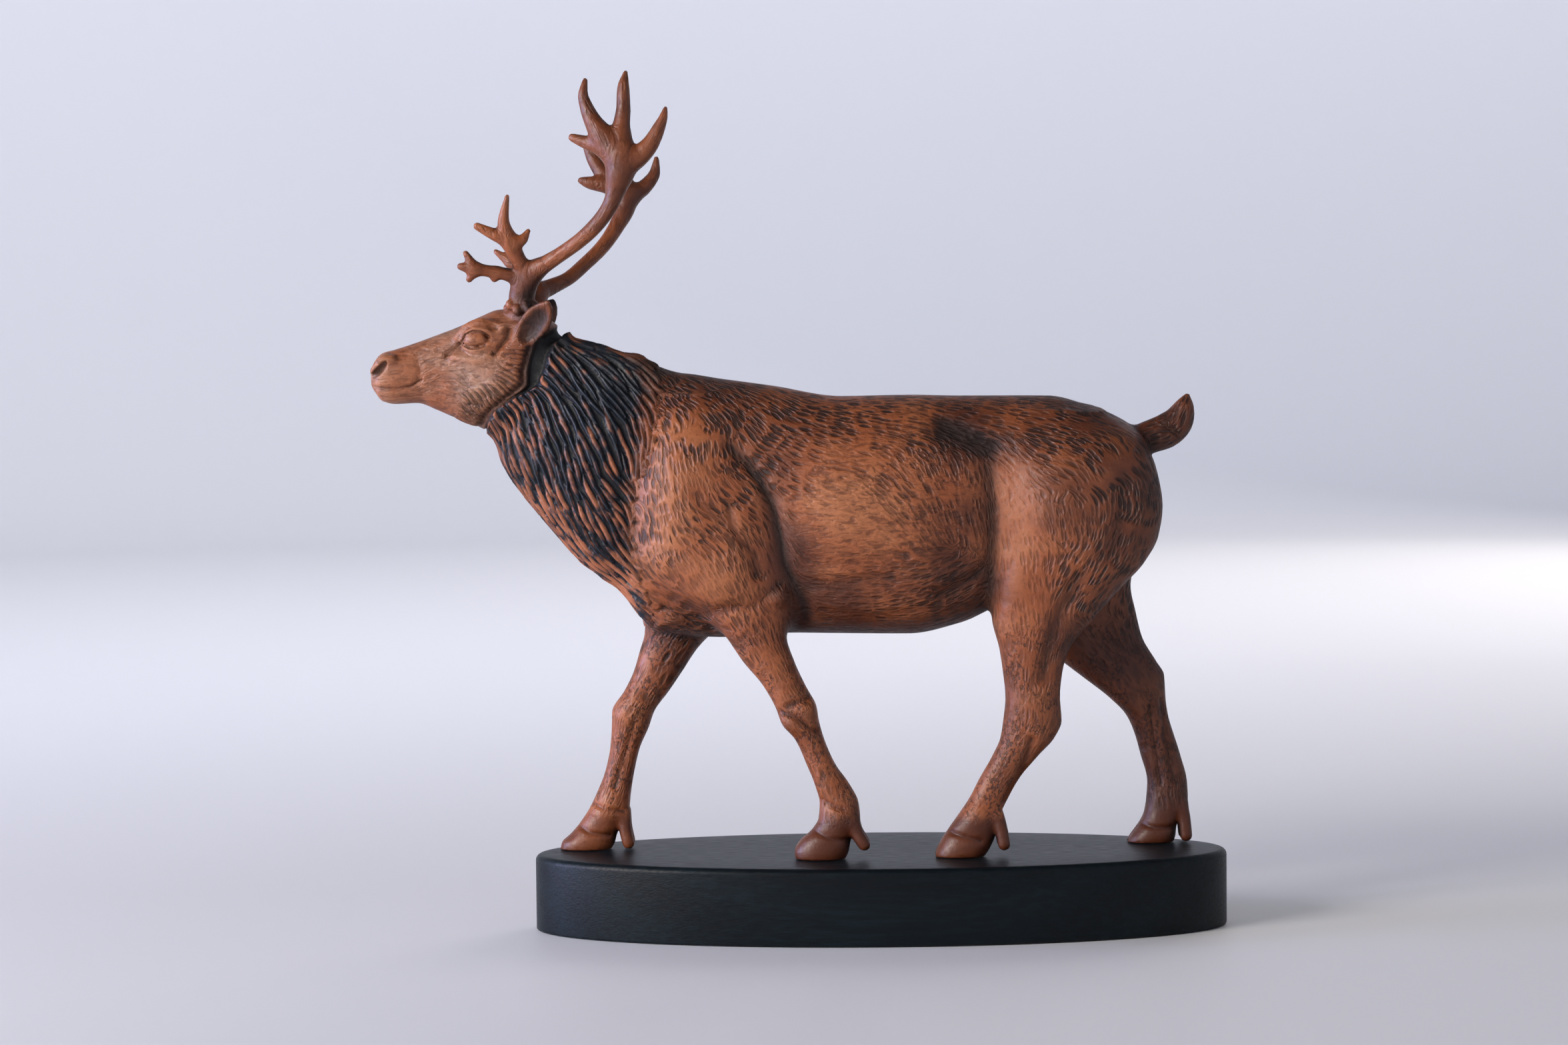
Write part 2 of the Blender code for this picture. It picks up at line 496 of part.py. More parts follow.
def figure_field():
    """The lattice with every mass of the figure blended into it."""
    lattice = Lattice((-176.0, -38.0, 22.0), (112.0, 46.0, 297.0), LATTICE)
    stack(lattice, TRUNK, "long", 2.25, 4.0)
    stack(lattice, NECK, "neck", 2.1, 9.0)
    stack(lattice, HEAD, "long", 2.3, 5.0)
    for rows in (NEAR_FORE, FAR_FORE, NEAR_HIND, FAR_HIND):
        stack(lattice, rows, "upright", 2.2, 4.0)
    cord(lattice, TAIL, 2.0)
    for points in mirrored(EAR):
        cord(lattice, points, 1.2)
    for points in mirrored(EAR_HOLLOW):
        cord(lattice, points, 0.8, remove=True)
    for antler in (NEAR_ANTLER, FAR_ANTLER):
        for branch in antler:
            cord(lattice, branch, 1.6)
    for x, y, z, ring in BURRS:
        for turn in range(BURR_KNOBS):
            angle = 2 * math.pi * turn / BURR_KNOBS
            knob = (x + ring * math.cos(angle), y + ring * math.sin(angle), z + 0.9 * math.sin(2.4 * turn))
            cord(lattice, ((*knob, BURR_KNOB), (*knob[:2], knob[2] + 0.6, BURR_KNOB)), 1.0)
    for spur, middle in zip(SPURS, SPUR_MIDDLES):
        for side in (-1, 1):
            cord(lattice, [(x, middle - side * y, z, a, b) for x, y, z, a, b in spur], 1.2)
    for row in mirrored(((-141.0, 8.2, 203.8, 1.2), (-136.0, 8.6, 206.8, 1.6), (-130.0, 9.4, 205.4, 1.4))):
        cord(lattice, row, 2.0)
    for row in mirrored(((-136.4, 8.9, 201.3, 2.4), (-133.6, 9.1, 201.5, 2.4))):
        cord(lattice, row, 1.0)
    for row in mirrored(((-169.8, 5.4, 190.4, 1.1, 1.8), (-167.6, 6.6, 192.4, 1.3, 1.9), (-165.4, 7.4, 194.8, 1.0, 1.5))):
        cord(lattice, row, 0.5, remove=True)
    return lattice


def open_pinches(field):
    """Fills the lattice points where the skin would touch itself along an edge."""
    for _ in range(8):
        inside = field < 0
        fill = np.zeros_like(inside)
        for first, second in ((0, 1), (0, 2), (1, 2)):
            corner = [[slice(None)] * 3 for _ in range(4)]
            for number, (a, b) in enumerate(((0, 0), (1, 0), (0, 1), (1, 1))):
                corner[number][first] = slice(a, field.shape[first] - 1 + a)
                corner[number][second] = slice(b, field.shape[second] - 1 + b)
            c00, c10, c01, c11 = (inside[tuple(part)] for part in corner)
            crossed = (c00 == c11) & (c10 == c01) & (c00 != c10)
            for part in corner:
                fill[tuple(part)] |= crossed
        fill &= ~inside
        if not fill.any():
            break
        field[fill] = -0.05


def skin(lattice):
    """Mesh of the surface where the distance is zero.

    Every lattice cell that the surface passes through gets one point, the mean
    of the places where the surface crosses the cell's edges, and every lattice
    edge that it crosses gets one four-sided face.

    Returns: points in drawn millimetres and faces as rows of four.
    """
    field = lattice.field
    open_pinches(field)
    inside = field < 0
    shape = tuple(n - 1 for n in field.shape)
    count = np.zeros(shape, np.uint8)
    corners = [(i, j, k) for i in (0, 1) for j in (0, 1) for k in (0, 1)]
    for i, j, k in corners:
        count += inside[i : i + shape[0], j : j + shape[1], k : k + shape[2]]
    cells = np.argwhere((count > 0) & (count < 8))
    number = np.full(shape, -1, np.int32)
    number[tuple(cells.T)] = np.arange(len(cells))
    total = np.zeros((len(cells), 3))
    hits = np.zeros(len(cells))
    for a in corners:
        for axis in range(3):
            if a[axis]:
                continue
            b = list(a)
            b[axis] = 1
            value_a = field[tuple((cells + a).T)]
            value_b = field[tuple((cells + b).T)]
            crossed = (value_a < 0) != (value_b < 0)
            share = np.where(crossed, value_a / np.where(crossed, value_a - value_b, 1), 0)
            place = np.array(a, float)[None, :].repeat(len(cells), 0)
            place[:, axis] = share
            total += place * crossed[:, None]
            hits += crossed
    low = np.array([axis[0] for axis in lattice.axes])
    points = low + (cells + total / hits[:, None]) * lattice.pitch
    faces = []
    for axis in range(3):
        other, third = (axis + 1) % 3, (axis + 2) % 3
        ahead = [slice(None)] * 3
        ahead[axis] = slice(1, None)
        back = [slice(None)] * 3
        back[axis] = slice(None, -1)
        flips = np.argwhere(inside[tuple(ahead)] != inside[tuple(back)])
        keep = (flips[:, other] > 0) & (flips[:, third] > 0)
        keep &= (flips[:, other] < shape[other]) & (flips[:, third] < shape[third])
        flips = flips[keep]
        around = []
        for d_other, d_third in ((-1, -1), (0, -1), (0, 0), (-1, 0)):
            cell = flips.copy()
            cell[:, other] += d_other
            cell[:, third] += d_third
            around.append(number[tuple(cell.T)])
        quads = np.stack(around, axis=1)
        turned = ~inside[tuple(flips.T)]
        quads[turned] = quads[turned][:, ::-1]
        faces.append(quads)
    return points, np.concatenate(faces)


def normals_of(points, faces):
    """Unit normals of the points of a mesh of four-sided faces."""
    crossing = np.cross(points[faces[:, 2]] - points[faces[:, 0]], points[faces[:, 3]] - points[faces[:, 1]])
    total = np.zeros_like(points)
    for corner in range(4):
        for axis in range(3):
            total[:, axis] += np.bincount(faces[:, corner], crossing[:, axis], len(points))
    return total / np.maximum(np.linalg.norm(total, axis=1), 1e-9)[:, None]


def smoothed(points, faces, rounds, keep):
    """Points eased towards their neighbours and back, so that nothing shrinks.

    Args: rounds number of passes, keep share of the move that each point skips.
    """
    a = np.concatenate([faces[:, k] for k in range(4)])
    b = np.concatenate([faces[:, (k + 1) % 4] for k in range(4)])
    degree = np.bincount(a, minlength=len(points)).astype(float)
    for _ in range(rounds):
        for strength in (0.5, -0.52):
            mean = np.stack([np.bincount(a, points[b, axis], len(points)) for axis in range(3)], axis=1)
            mean /= degree[:, None]
            points = points + (mean - points) * (strength * (1 - keep))[:, None]
    return points


def line_distance(x, z, line):
    """Distance in the side view to a bent line."""
    best = np.full(x.shape, 1e9)
    for (ax, az), (bx, bz) in zip(line[:-1], line[1:]):
        dx, dz = bx - ax, bz - az
        share = np.clip(((x - ax) * dx + (z - az) * dz) / (dx * dx + dz * dz), 0, 1)
        best = np.minimum(best, np.hypot(x - ax - share * dx, z - az - share * dz))
    return best


def ease(low, high, value):
    """0 below low, 1 above high, smooth between."""
    share = np.clip((value - low) / (high - low), 0, 1)
    return share * share * (3 - 2 * share)


def mane_share(points):
    """1 on the mane, 0 off it, soft over its borders."""
    x, y, z = points.T
    rear = curve([r[0] for r in MANE_REAR], [[r[1]] for r in MANE_REAR], z)[:, 0]
    jaw = curve([r[0] for r in MANE_JAW], [[r[1]] for r in MANE_JAW], z)[:, 0]
    ragged = 1.6 * np.sin(z * 1.15) * np.sin(z * 0.43 + 1.0)
    height = ease(101.0, 105.0, z) * (1 - ease(204.0, 208.0, z))
    return ease(-1.0, 1.2, rear + ragged - x) * ease(-0.5, 1.5, x - jaw) * height


def lock_height(points):
    """Height of the locks of the mane, 0 in the cuts between them and 1 on top.

    Along the neck the locks stand in rows, each row half a lock behind the next,
    and each lock swings from side to side and rises towards its tip.
    """
    x, y, z = points.T
    dx, dz = x - NECK_START[0], z - NECK_START[1]
    along = dx * NECK_HEADING[0] + dz * NECK_HEADING[1]
    side = -dx * NECK_HEADING[1] + dz * NECK_HEADING[0] + 12.0
    around = np.arctan2(y - MIDDLE_Y, side / 1.45) * 23.0
    swing = 1.1 * np.sin(along * 0.42 + around * 0.11) + 0.8 * np.sin(along * 0.17 - around * 0.23)
    place = (around + swing) / LOCK_SPACING
    row = np.floor(place)
    across = 2 * (place - row) - 1
    start = along / LOCK_LENGTH + 0.5 * (row % 2) + 0.31 * np.sin(row * 2.7)
    rise = start - np.floor(start)
    top = 1 - np.abs(across) ** 1.6
    return top * (0.35 + 0.65 * rise) * (1 - ease(0.86, 1.0, rise) * 0.75)


def swells(points, normals):
    """Rise of the skin over the muscles, height * exp(-(dx / reach x)^2 - (dz / reach z)^2)."""
    x, y, z = points.T
    rise = np.zeros(len(x))
    for at_x, at_z, reach_x, reach_z, height, side in SWELLS:
        shown = np.abs(normals[:, 1])
        if side:
            shown = shown * (side * (y - MIDDLE_Y) > -1.0)
        bell = np.exp(-(((x - at_x) / reach_x) ** 2) - ((z - at_z) / reach_z) ** 2)
        rise += height * bell * np.minimum(shown * 1.4, 1)
    return rise


def carve(points, faces):
    """Cuts the carver's lines and the locks of the mane into the skin."""
    normals = normals_of(points, faces)
    x, y, z = points.T
    facing = normals[:, 1]
    depth = np.zeros(len(points))
    for line, width, deep, side in CUTS:
        near = (x > min(p[0] for p in line) - 4 * width) & (x < max(p[0] for p in line) + 4 * width)
        near &= (z > min(p[1] for p in line) - 4 * width) & (z < max(p[1] for p in line) + 4 * width)
        shown = np.abs(facing[near])
        if side:
            shown = shown * (side * (y[near] - MIDDLE_Y) > -1.0)
        away = line_distance(x[near], z[near], line)
        depth[near] = np.maximum(depth[near], deep * np.exp(-((away / width) ** 2) * 1.6) * np.minimum(shown * 1.5, 1))
    mane = mane_share(points)
    lift = mane * (MANE_LIFT - LOCK_DEPTH * (1 - lock_height(points)))
    return points + normals * (lift - depth * (1 - mane))[:, None]


def wood(name, red, green, blue, rough):
    """Plain material of one finish."""
    material = bpy.data.materials.new(name)
    material.use_nodes = True
    shader = material.node_tree.nodes["Principled BSDF"]
    shader.inputs["Base Color"].default_value = (red, green, blue, 1.0)
    shader.inputs["Roughness"].default_value = rough
    material.diffuse_color = (red, green, blue, 1.0)
    return material


def add_object(name, points, faces, material):
    """New mesh object in the scene."""
    mesh = bpy.data.meshes.new(name)
    mesh.from_pydata(np.asarray(points).tolist(), [], [list(map(int, face)) for face in faces])
    mesh.materials.append(material)
    mesh.update()
    obj = bpy.data.objects.new(name, mesh)
    bpy.context.scene.collection.objects.link(obj)
    return obj


def build_plinth():
    """Oval plinth with eased edges, centred on the origin, underside at z = 0."""
    around = 96
    edge = []
    for step in range(3):
        angle = math.pi / 2 * step / 2
        edge.append((PLINTH_FOOT_ROUND * (1 - math.sin(angle)), PLINTH_FOOT_ROUND * (1 - math.cos(angle))))
    for step in range(5):
        angle = math.pi / 2 * step / 4
        edge.append((PLINTH_TOP_ROUND * (1 - math.cos(angle)), PLINTH_THICKNESS - PLINTH_TOP_ROUND * (1 - math.sin(angle))))
    turn = np.linspace(0, 2 * math.pi, around, endpoint=False)
    rings = []
    for inset, height in edge:
        ring = np.stack([
            (PLINTH_LENGTH / 2 - inset) * np.cos(turn),
            (PLINTH_WIDTH / 2 - inset) * np.sin(turn),
            np.full(around, height),
        ], axis=1)
        rings.append(ring)
    points = np.concatenate(rings)
    faces = [list(range(around))[::-1]]
    for ring in range(len(edge) - 1):
        for step in range(around):
            after = (step + 1) % around
            a, b = ring * around, (ring + 1) * around
            faces.append([a + step, a + after, b + after, b + step])
    top = (len(edge) - 1) * around
    faces.append([top + step for step in range(around)])
    return add_object("plinth", points, faces, wood("blackened_wood", 0.010, 0.014, 0.018, 0.45))


def build_figure():
    """The deer, standing FOOT_GAP over the plinth."""
    lattice = figure_field()
    points, faces = skin(lattice)
    low_feet = np.clip((29.0 - points[:, 2]) / 2.0, 0, 1)
    thin = ease(206.0, 212.0, points[:, 2]) * 0.6
    points = smoothed(points, faces, 3, np.clip(thin + low_feet, 0, 1))
    normals = normals_of(points, faces)
    points = points + normals * swells(points, normals)[:, None]
    points = carve(points, faces)
    sole = DRAWN_GROUND + FOOT_GAP * 1000.0
    points[:, 2] = np.maximum(points[:, 2], sole)
    scale = FIGURE_HEIGHT / DRAWN_HEIGHT
    points[:, 2] -= sole
    points *= scale
    points[:, 2] += PLINTH_THICKNESS + FOOT_GAP
    deer = add_object("deer", points, faces, wood("carved_wood", 0.30, 0.10, 0.045, 0.5))
    thinner = deer.modifiers.new("fewer_faces", "DECIMATE")
    thinner.ratio = FIGURE_FACES / (2 * len(faces))
    return deer


def main():
    """Clears the scene and builds both pieces."""
    for obj in list(bpy.data.objects):
        bpy.data.objects.remove(obj, do_unlink=True)
    build_plinth()
    build_figure()


main()
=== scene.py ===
"""Carved wooden deer walking on an oval plinth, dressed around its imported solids.

The figure is one carved piece. Each of its masses is a stack of oval sections or
a rod along a bent line, the masses are blended on a fine lattice, and the skin of
that blend is drawn as a mesh. The carver's cuts and the locks of the mane are
then pressed into the skin, and the finish reads attributes that say where a
place lies: in a hollow, on a lock, on the head, under the chisel.

Side-view numbers are drawn millimetres of a figure DRAWN_HEIGHT tall, x to the
rear, z up from the underside of the plinth, y across with the near side negative.
"""

import logging
import math
from dataclasses import dataclass, field
from enum import Enum

import bmesh
import bpy
import numpy as np
from mathutils import Matrix, Vector


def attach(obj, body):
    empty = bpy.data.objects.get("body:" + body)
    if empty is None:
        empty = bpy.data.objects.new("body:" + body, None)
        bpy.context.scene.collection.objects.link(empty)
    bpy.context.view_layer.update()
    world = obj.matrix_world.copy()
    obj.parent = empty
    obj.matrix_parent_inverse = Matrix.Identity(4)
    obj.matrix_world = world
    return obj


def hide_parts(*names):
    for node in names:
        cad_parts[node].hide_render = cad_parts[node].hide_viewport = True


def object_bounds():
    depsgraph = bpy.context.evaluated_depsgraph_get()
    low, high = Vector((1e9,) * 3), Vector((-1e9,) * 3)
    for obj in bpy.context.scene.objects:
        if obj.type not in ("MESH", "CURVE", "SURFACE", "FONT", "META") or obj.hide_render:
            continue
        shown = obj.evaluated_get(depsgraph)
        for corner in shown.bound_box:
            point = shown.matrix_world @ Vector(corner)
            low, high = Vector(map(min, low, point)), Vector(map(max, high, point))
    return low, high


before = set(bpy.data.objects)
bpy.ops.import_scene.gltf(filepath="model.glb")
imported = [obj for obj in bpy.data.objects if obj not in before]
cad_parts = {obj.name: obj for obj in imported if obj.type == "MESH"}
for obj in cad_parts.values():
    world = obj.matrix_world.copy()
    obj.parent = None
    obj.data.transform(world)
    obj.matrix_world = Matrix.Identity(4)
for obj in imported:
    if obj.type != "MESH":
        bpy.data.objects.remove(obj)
cad_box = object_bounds()

log = logging.getLogger("wooden_deer")

Row = tuple[float, ...]
Rows = tuple[Row, ...]
Array = np.ndarray

# The drawing: real height of the figure and of the drawing, metres and
# millimetres, the level of the ground in it and the plane that halves the body.
FIGURE_HEIGHT = 0.267
DRAWN_HEIGHT = 267.0
DRAWN_GROUND = 26.0
PLINTH_THICKNESS = 0.026
FOOT_GAP = 0.0003
MIDDLE_Y = -3.0
MM = 0.001

# The lattice: what a point far from the skin holds, the room kept round a stack
# and round a cord, the pieces that a stretch of a cord is cut into, and how the
# places where the skin would touch itself are filled.
FAR_AWAY = 9.0
STACK_ROOM = 3.0
CORD_ROOM = 2.5
CORD_PIECES = 5
PINCH_ROUNDS = 8
PINCH_DEPTH = -0.05

# Trunk sections, from the chest to the rump: x, back, belly, half width.
TRUNK = (
    (-89.0, 172.0, 132.0, 8.0),
    (-80.0, 187.6, 110.0, 16.0),
    (-68.0, 189.8, 101.0, 21.0),
    (-52.0, 187.6, 100.0, 24.0),
    (-36.0, 185.3, 101.4, 25.2),
    (-12.0, 181.5, 101.0, 28.0),
    (10.0, 181.7, 100.7, 28.0),
    (27.0, 181.3, 104.1, 25.6),
    (42.0, 181.2, 110.5, 23.5),
    (58.0, 181.0, 116.0, 23.0),
    (70.0, 178.1, 120.0, 21.0),
    (82.0, 173.2, 126.0, 18.0),
    (89.5, 167.0, 133.0, 13.5),
    (94.0, 156.0, 141.0, 6.0),
)

# Neck sections, from the poll to the brisket: distance along the neck, throat
# side, nape side, half width. The line of the neck starts at the poll, and the
# neck lies between a low and a high corner, x and z.
NECK_START = (-112.0, 200.0)
NECK_HEADING = (0.6, -0.8)
NECK_LOW = (-140.0, 90.0)
NECK_HIGH = (-40.0, 218.0)
NECK = (
    (-8.0, -17.0, 3.0, 8.0),
    (2.0, -24.0, 7.0, 11.5),
    (14.0, -31.6, 15.8, 14.0),
    (24.0, -36.2, 20.6, 16.5),
    (33.0, -37.0, 19.5, 18.5),
    (42.0, -36.7, 14.0, 20.0),
    (52.5, -36.2, 8.0, 20.5),
    (64.6, -35.4, 0.0, 19.5),
    (75.0, -32.0, -6.0, 17.0),
    (86.4, -28.6, -10.0, 12.5),
    (95.0, -26.8, -14.0, 7.0),
)

# Head sections, from the nose to the poll: x, top, bottom, half width.
HEAD = (
    (-171.3, 192.4, 186.2, 2.4),
    (-170.2, 194.6, 184.4, 4.7),
    (-167.6, 197.4, 181.2, 6.5),
    (-163.0, 198.7, 180.2, 7.0),
    (-156.0, 200.9, 180.5, 7.0),
    (-149.0, 203.4, 178.0, 7.6),
    (-141.0, 206.4, 174.4, 9.2),
    (-134.0, 209.6, 172.0, 10.8),
    (-128.0, 211.8, 171.0, 11.8),
    (-121.0, 212.2, 177.0, 12.0),
    (-113.0, 209.0, 184.5, 11.0),
    (-106.0, 203.5, 190.0, 7.5),
)

# Limb sections, from the shoulder or the hip to the sole: z, front, rear, half
# width, y of the middle.
NEAR_FORE = (
    (182.0, -72.0, -54.0, 6.0, -9.5),
    (177.0, -78.0, -47.0, 10.0, -12.0),
    (163.0, -82.0, -44.0, 13.0, -15.0),
    (146.0, -84.0, -36.8, 14.0, -16.5),
    (131.0, -83.0, -32.6, 13.8, -17.4),
    (120.0, -74.0, -30.2, 12.6, -17.8),
    (110.0, -59.5, -30.5, 10.0, -18.0),
    (101.4, -52.0, -31.6, 8.2, -18.5),
    (93.0, -46.3, -29.1, 7.0, -19.0),
    (85.2, -39.9, -25.6, 6.2, -19.3),
    (78.0, -35.8, -22.0, 6.0, -19.5),
    (72.0, -33.4, -20.8, 6.0, -19.5),
    (66.5, -29.0, -19.2, 4.9, -19.7),
    (58.2, -25.3, -15.6, 4.2, -20.0),
    (51.4, -22.6, -10.9, 4.5, -20.0),
    (45.1, -21.0, -7.9, 5.3, -20.0),
    (40.0, -21.4, -7.4, 5.8, -20.0),
    (36.0, -23.8, -8.6, 5.8, -20.0),
    (32.4, -27.8, -10.6, 6.2, -20.0),
    (28.5, -29.8, -11.4, 6.4, -20.0),
    (26.3, -29.4, -12.4, 6.2, -20.0),
)
FAR_FORE = (
    (182.0, -72.0, -54.0, 6.0, 3.5),
    (177.0, -78.0, -47.0, 10.0, 6.0),
    (163.0, -82.0, -44.0, 13.0, 9.0),
    (146.0, -84.0, -38.0, 14.0, 10.5),
    (131.0, -84.0, -37.0, 13.6, 11.0),
    (120.0, -82.0, -43.0, 12.0, 10.8),
    (110.0, -80.2, -51.5, 9.8, 10.0),
    (101.0, -80.2, -57.0, 8.6, 9.8),
    (94.2, -82.0, -62.8, 7.4, 9.6),
    (87.0, -84.2, -67.6, 6.6, 9.4),
    (80.6, -87.4, -72.0, 6.2, 9.2),
    (73.5, -91.7, -77.2, 6.2, 9.0),
    (68.0, -91.9, -79.2, 5.6, 9.0),
    (61.0, -92.5, -82.3, 4.6, 9.0),
    (52.9, -94.3, -84.3, 4.5, 9.0),
    (45.2, -97.4, -85.6, 5.2, 9.0),
    (39.6, -100.2, -86.2, 5.7, 9.0),
    (35.5, -103.0, -88.0, 5.8, 9.0),
    (31.5, -106.4, -90.4, 6.3, 9.0),
    (28.3, -109.7, -91.3, 6.5, 9.0),
    (26.3, -110.3, -92.4, 6.3, 9.0),
)
NEAR_HIND = (
    (175.0, 50.0, 74.0, 6.0, -10.0),
    (166.0, 43.0, 89.0, 12.0, -13.5),
    (155.0, 40.2, 93.6, 14.8, -15.8),
    (144.0, 39.3, 95.2, 15.4, -16.4),
    (134.0, 39.0, 93.7, 14.8, -16.6),
    (125.0, 38.2, 88.8, 13.2, -16.8),
    (116.0, 36.9, 80.4, 11.2, -17.0),
    (106.0, 37.6, 71.6, 9.4, -17.3),
    (96.7, 39.9, 63.9, 7.6, -17.5),
    (88.7, 41.1, 61.2, 6.8, -17.5),
    (80.0, 41.9, 60.3, 6.6, -17.5),
    (72.0, 41.1, 60.8, 6.6, -17.5),
    (66.1, 40.1, 58.3, 6.2, -17.5),
    (60.2, 37.4, 52.9, 5.3, -17.5),
    (52.5, 33.0, 46.5, 4.8, -17.5),
    (45.5, 29.3, 42.5, 4.9, -17.5),
    (39.8, 25.4, 39.8, 5.5, -17.5),
    (35.5, 22.3, 38.9, 5.8, -17.5),
    (31.5, 19.7, 37.6, 6.2, -17.5),
    (28.0, 18.0, 35.8, 6.4, -17.5),
    (26.3, 17.6, 34.6, 6.2, -17.5),
)
FAR_HIND = (
    (175.0, 50.0, 74.0, 6.0, 4.0),
    (166.0, 43.0, 89.0, 12.0, 7.5),
    (155.0, 40.2, 93.6, 14.8, 9.8),
    (144.0, 39.3, 94.6, 15.4, 10.4),
    (134.0, 39.0, 92.6, 14.6, 10.8),
    (125.0, 38.5, 88.8, 12.8, 11.5),
    (115.0, 42.0, 86.6, 11.0, 12.0),
    (106.0, 47.0, 88.3, 9.6, 12.5),
    (97.0, 55.0, 90.6, 8.6, 13.0),
    (88.7, 63.4, 95.4, 7.6, 13.5),
    (84.0, 69.4, 98.1, 7.1, 13.7),
    (76.0, 79.5, 98.6, 6.8, 14.0),
    (70.2, 85.0, 99.4, 6.0, 14.0),
    (64.6, 87.6, 101.0, 5.3, 14.0),
    (56.6, 89.9, 103.5, 4.9, 14.0),
    (47.0, 92.2, 105.9, 5.0, 14.0),
    (41.0, 91.8, 106.2, 5.6, 14.0),
    (36.5, 91.0, 104.4, 5.8, 14.0),
    (31.5, 88.3, 102.2, 6.3, 14.0),
    (28.1, 85.8, 101.8, 6.5, 14.0),
    (26.3, 84.9, 101.2, 6.3, 14.0),
)

# Cords: round or flattened rods along a bent line. Each point is x, y, z, radius
# in the side view, radius across it. A cord ends in a rounded tip.
TAIL = (
    (83.0, -3.0, 162.0, 6.0, 5.5),
    (91.0, -3.0, 166.2, 5.6, 5.0),
    (97.5, -3.0, 168.6, 5.9, 4.8),
    (101.6, -3.0, 171.8, 5.2, 4.2),
    (103.6, -3.0, 176.0, 3.6, 3.2),
    (104.8, -3.0, 180.4, 1.0, 1.0),
)
SPURS = (
    ((-10.5, -2.8, 39.0, 3.0, 2.2), (-8.6, -3.4, 35.0, 2.3, 2.0), (-6.2, -3.8, 31.3, 2.1, 2.0)),
    ((-88.4, -2.8, 38.5, 2.8, 2.2), (-87.5, -3.4, 33.0, 2.2, 2.0), (-86.5, -3.8, 28.6, 2.1, 2.0)),
    ((38.6, -2.8, 40.0, 2.6, 2.2), (40.2, -3.4, 35.0, 2.2, 2.0), (41.0, -3.8, 30.6, 2.1, 2.0)),
    ((103.4, -2.8, 38.5, 2.8, 2.2), (104.8, -3.4, 33.0, 2.2, 2.0), (105.2, -3.8, 28.7, 2.1, 2.0)),
)
SPUR_MIDDLES = (-20.0, 9.0, -17.5, 14.0)

# Ears, drawn on the near side and mirrored for the far side: y is counted
# outwards from the middle plane.
EAR = (
    (-118.6, 8.6, 200.6, 3.6, 2.6),
    (-117.0, 10.6, 204.2, 5.0, 2.3),
    (-114.5, 12.8, 208.0, 4.9, 1.9),
    (-112.0, 14.6, 211.4, 3.2, 1.4),
    (-110.4, 15.8, 214.2, 0.9, 0.8),
)
EAR_HOLLOW = (
    (-118.6, 12.2, 202.8, 2.0, 1.5),
    (-116.8, 13.6, 205.2, 3.7, 1.9),
    (-114.3, 15.2, 208.4, 3.8, 1.9),
    (-112.1, 16.6, 211.2, 2.2, 1.4),
    (-111.1, 17.4, 212.6, 0.9, 0.8),
)

# Antlers: x, y, z, radius. The near one stands steeper and higher, the far one
# spreads further out.
NEAR_ANTLER = (
    ((-119.2, -8.0, 208.0, 4.6), (-119.8, -9.0, 214.5, 4.4), (-118.6, -10.5, 220.5, 4.4),
     (-115.2, -12.5, 224.8, 3.8), (-110.6, -15.0, 227.6, 2.8), (-104.8, -17.5, 231.2, 2.5),
     (-99.6, -20.0, 234.8, 2.5), (-95.0, -22.0, 238.8, 2.6), (-91.0, -23.5, 243.4, 2.6),
     (-88.2, -24.5, 248.2, 2.8), (-86.7, -25.0, 253.0, 3.7), (-85.4, -25.5, 258.6, 5.0),
     (-85.2, -25.5, 264.0, 5.0)),
    ((-85.0, -25.5, 262.0, 4.6), (-85.4, -25.0, 268.2, 4.1), (-84.9, -24.6, 273.2, 2.9),
     (-84.2, -24.0, 279.0, 2.4), (-84.2, -23.4, 285.0, 2.1), (-83.4, -22.5, 290.6, 0.8)),
    ((-84.6, -25.5, 259.8, 4.4), (-79.8, -26.3, 262.4, 3.7), (-75.4, -26.8, 266.6, 2.9),
     (-72.6, -27.0, 271.6, 2.2), (-70.8, -26.8, 275.8, 1.4), (-70.1, -26.5, 278.6, 0.7)),
    ((-86.5, -25.5, 262.5, 4.2), (-90.4, -25.0, 268.4, 4.2), (-94.0, -24.5, 273.8, 3.1),
     (-96.4, -23.8, 279.0, 2.3), (-97.6, -23.0, 283.4, 1.7), (-96.9, -22.5, 288.0, 0.9)),
    ((-87.6, -25.0, 263.4, 3.8), (-93.0, -23.6, 266.4, 2.9), (-97.6, -22.4, 267.8, 2.1),
     (-101.4, -21.5, 269.2, 1.4)),
    ((-117.5, -11.5, 223.5, 3.2), (-120.6, -14.0, 229.0, 2.7), (-122.8, -16.0, 234.4, 2.9),
     (-125.0, -17.5, 241.4, 2.0), (-123.6, -18.5, 249.8, 0.8)),
    ((-123.0, -16.0, 234.8, 2.5), (-128.6, -17.5, 237.4, 2.0), (-133.8, -18.0, 240.0, 1.3)),
    ((-122.6, -16.0, 233.8, 2.2), (-119.0, -16.5, 235.2, 1.8), (-116.8, -16.5, 238.4, 0.8)),
    ((-118.5, -10.5, 221.0, 3.0), (-124.5, -12.5, 223.8, 2.2), (-130.6, -13.5, 225.0, 2.0),
     (-135.6, -14.0, 225.8, 2.1), (-139.8, -14.5, 226.6, 1.2)),
    ((-135.0, -14.0, 226.0, 1.9), (-138.0, -14.5, 231.0, 1.0)),
    ((-134.6, -14.0, 225.4, 1.8), (-137.0, -14.0, 222.2, 1.1)),
    ((-128.0, -13.0, 224.6, 1.6), (-128.6, -13.0, 222.2, 1.1)),
)
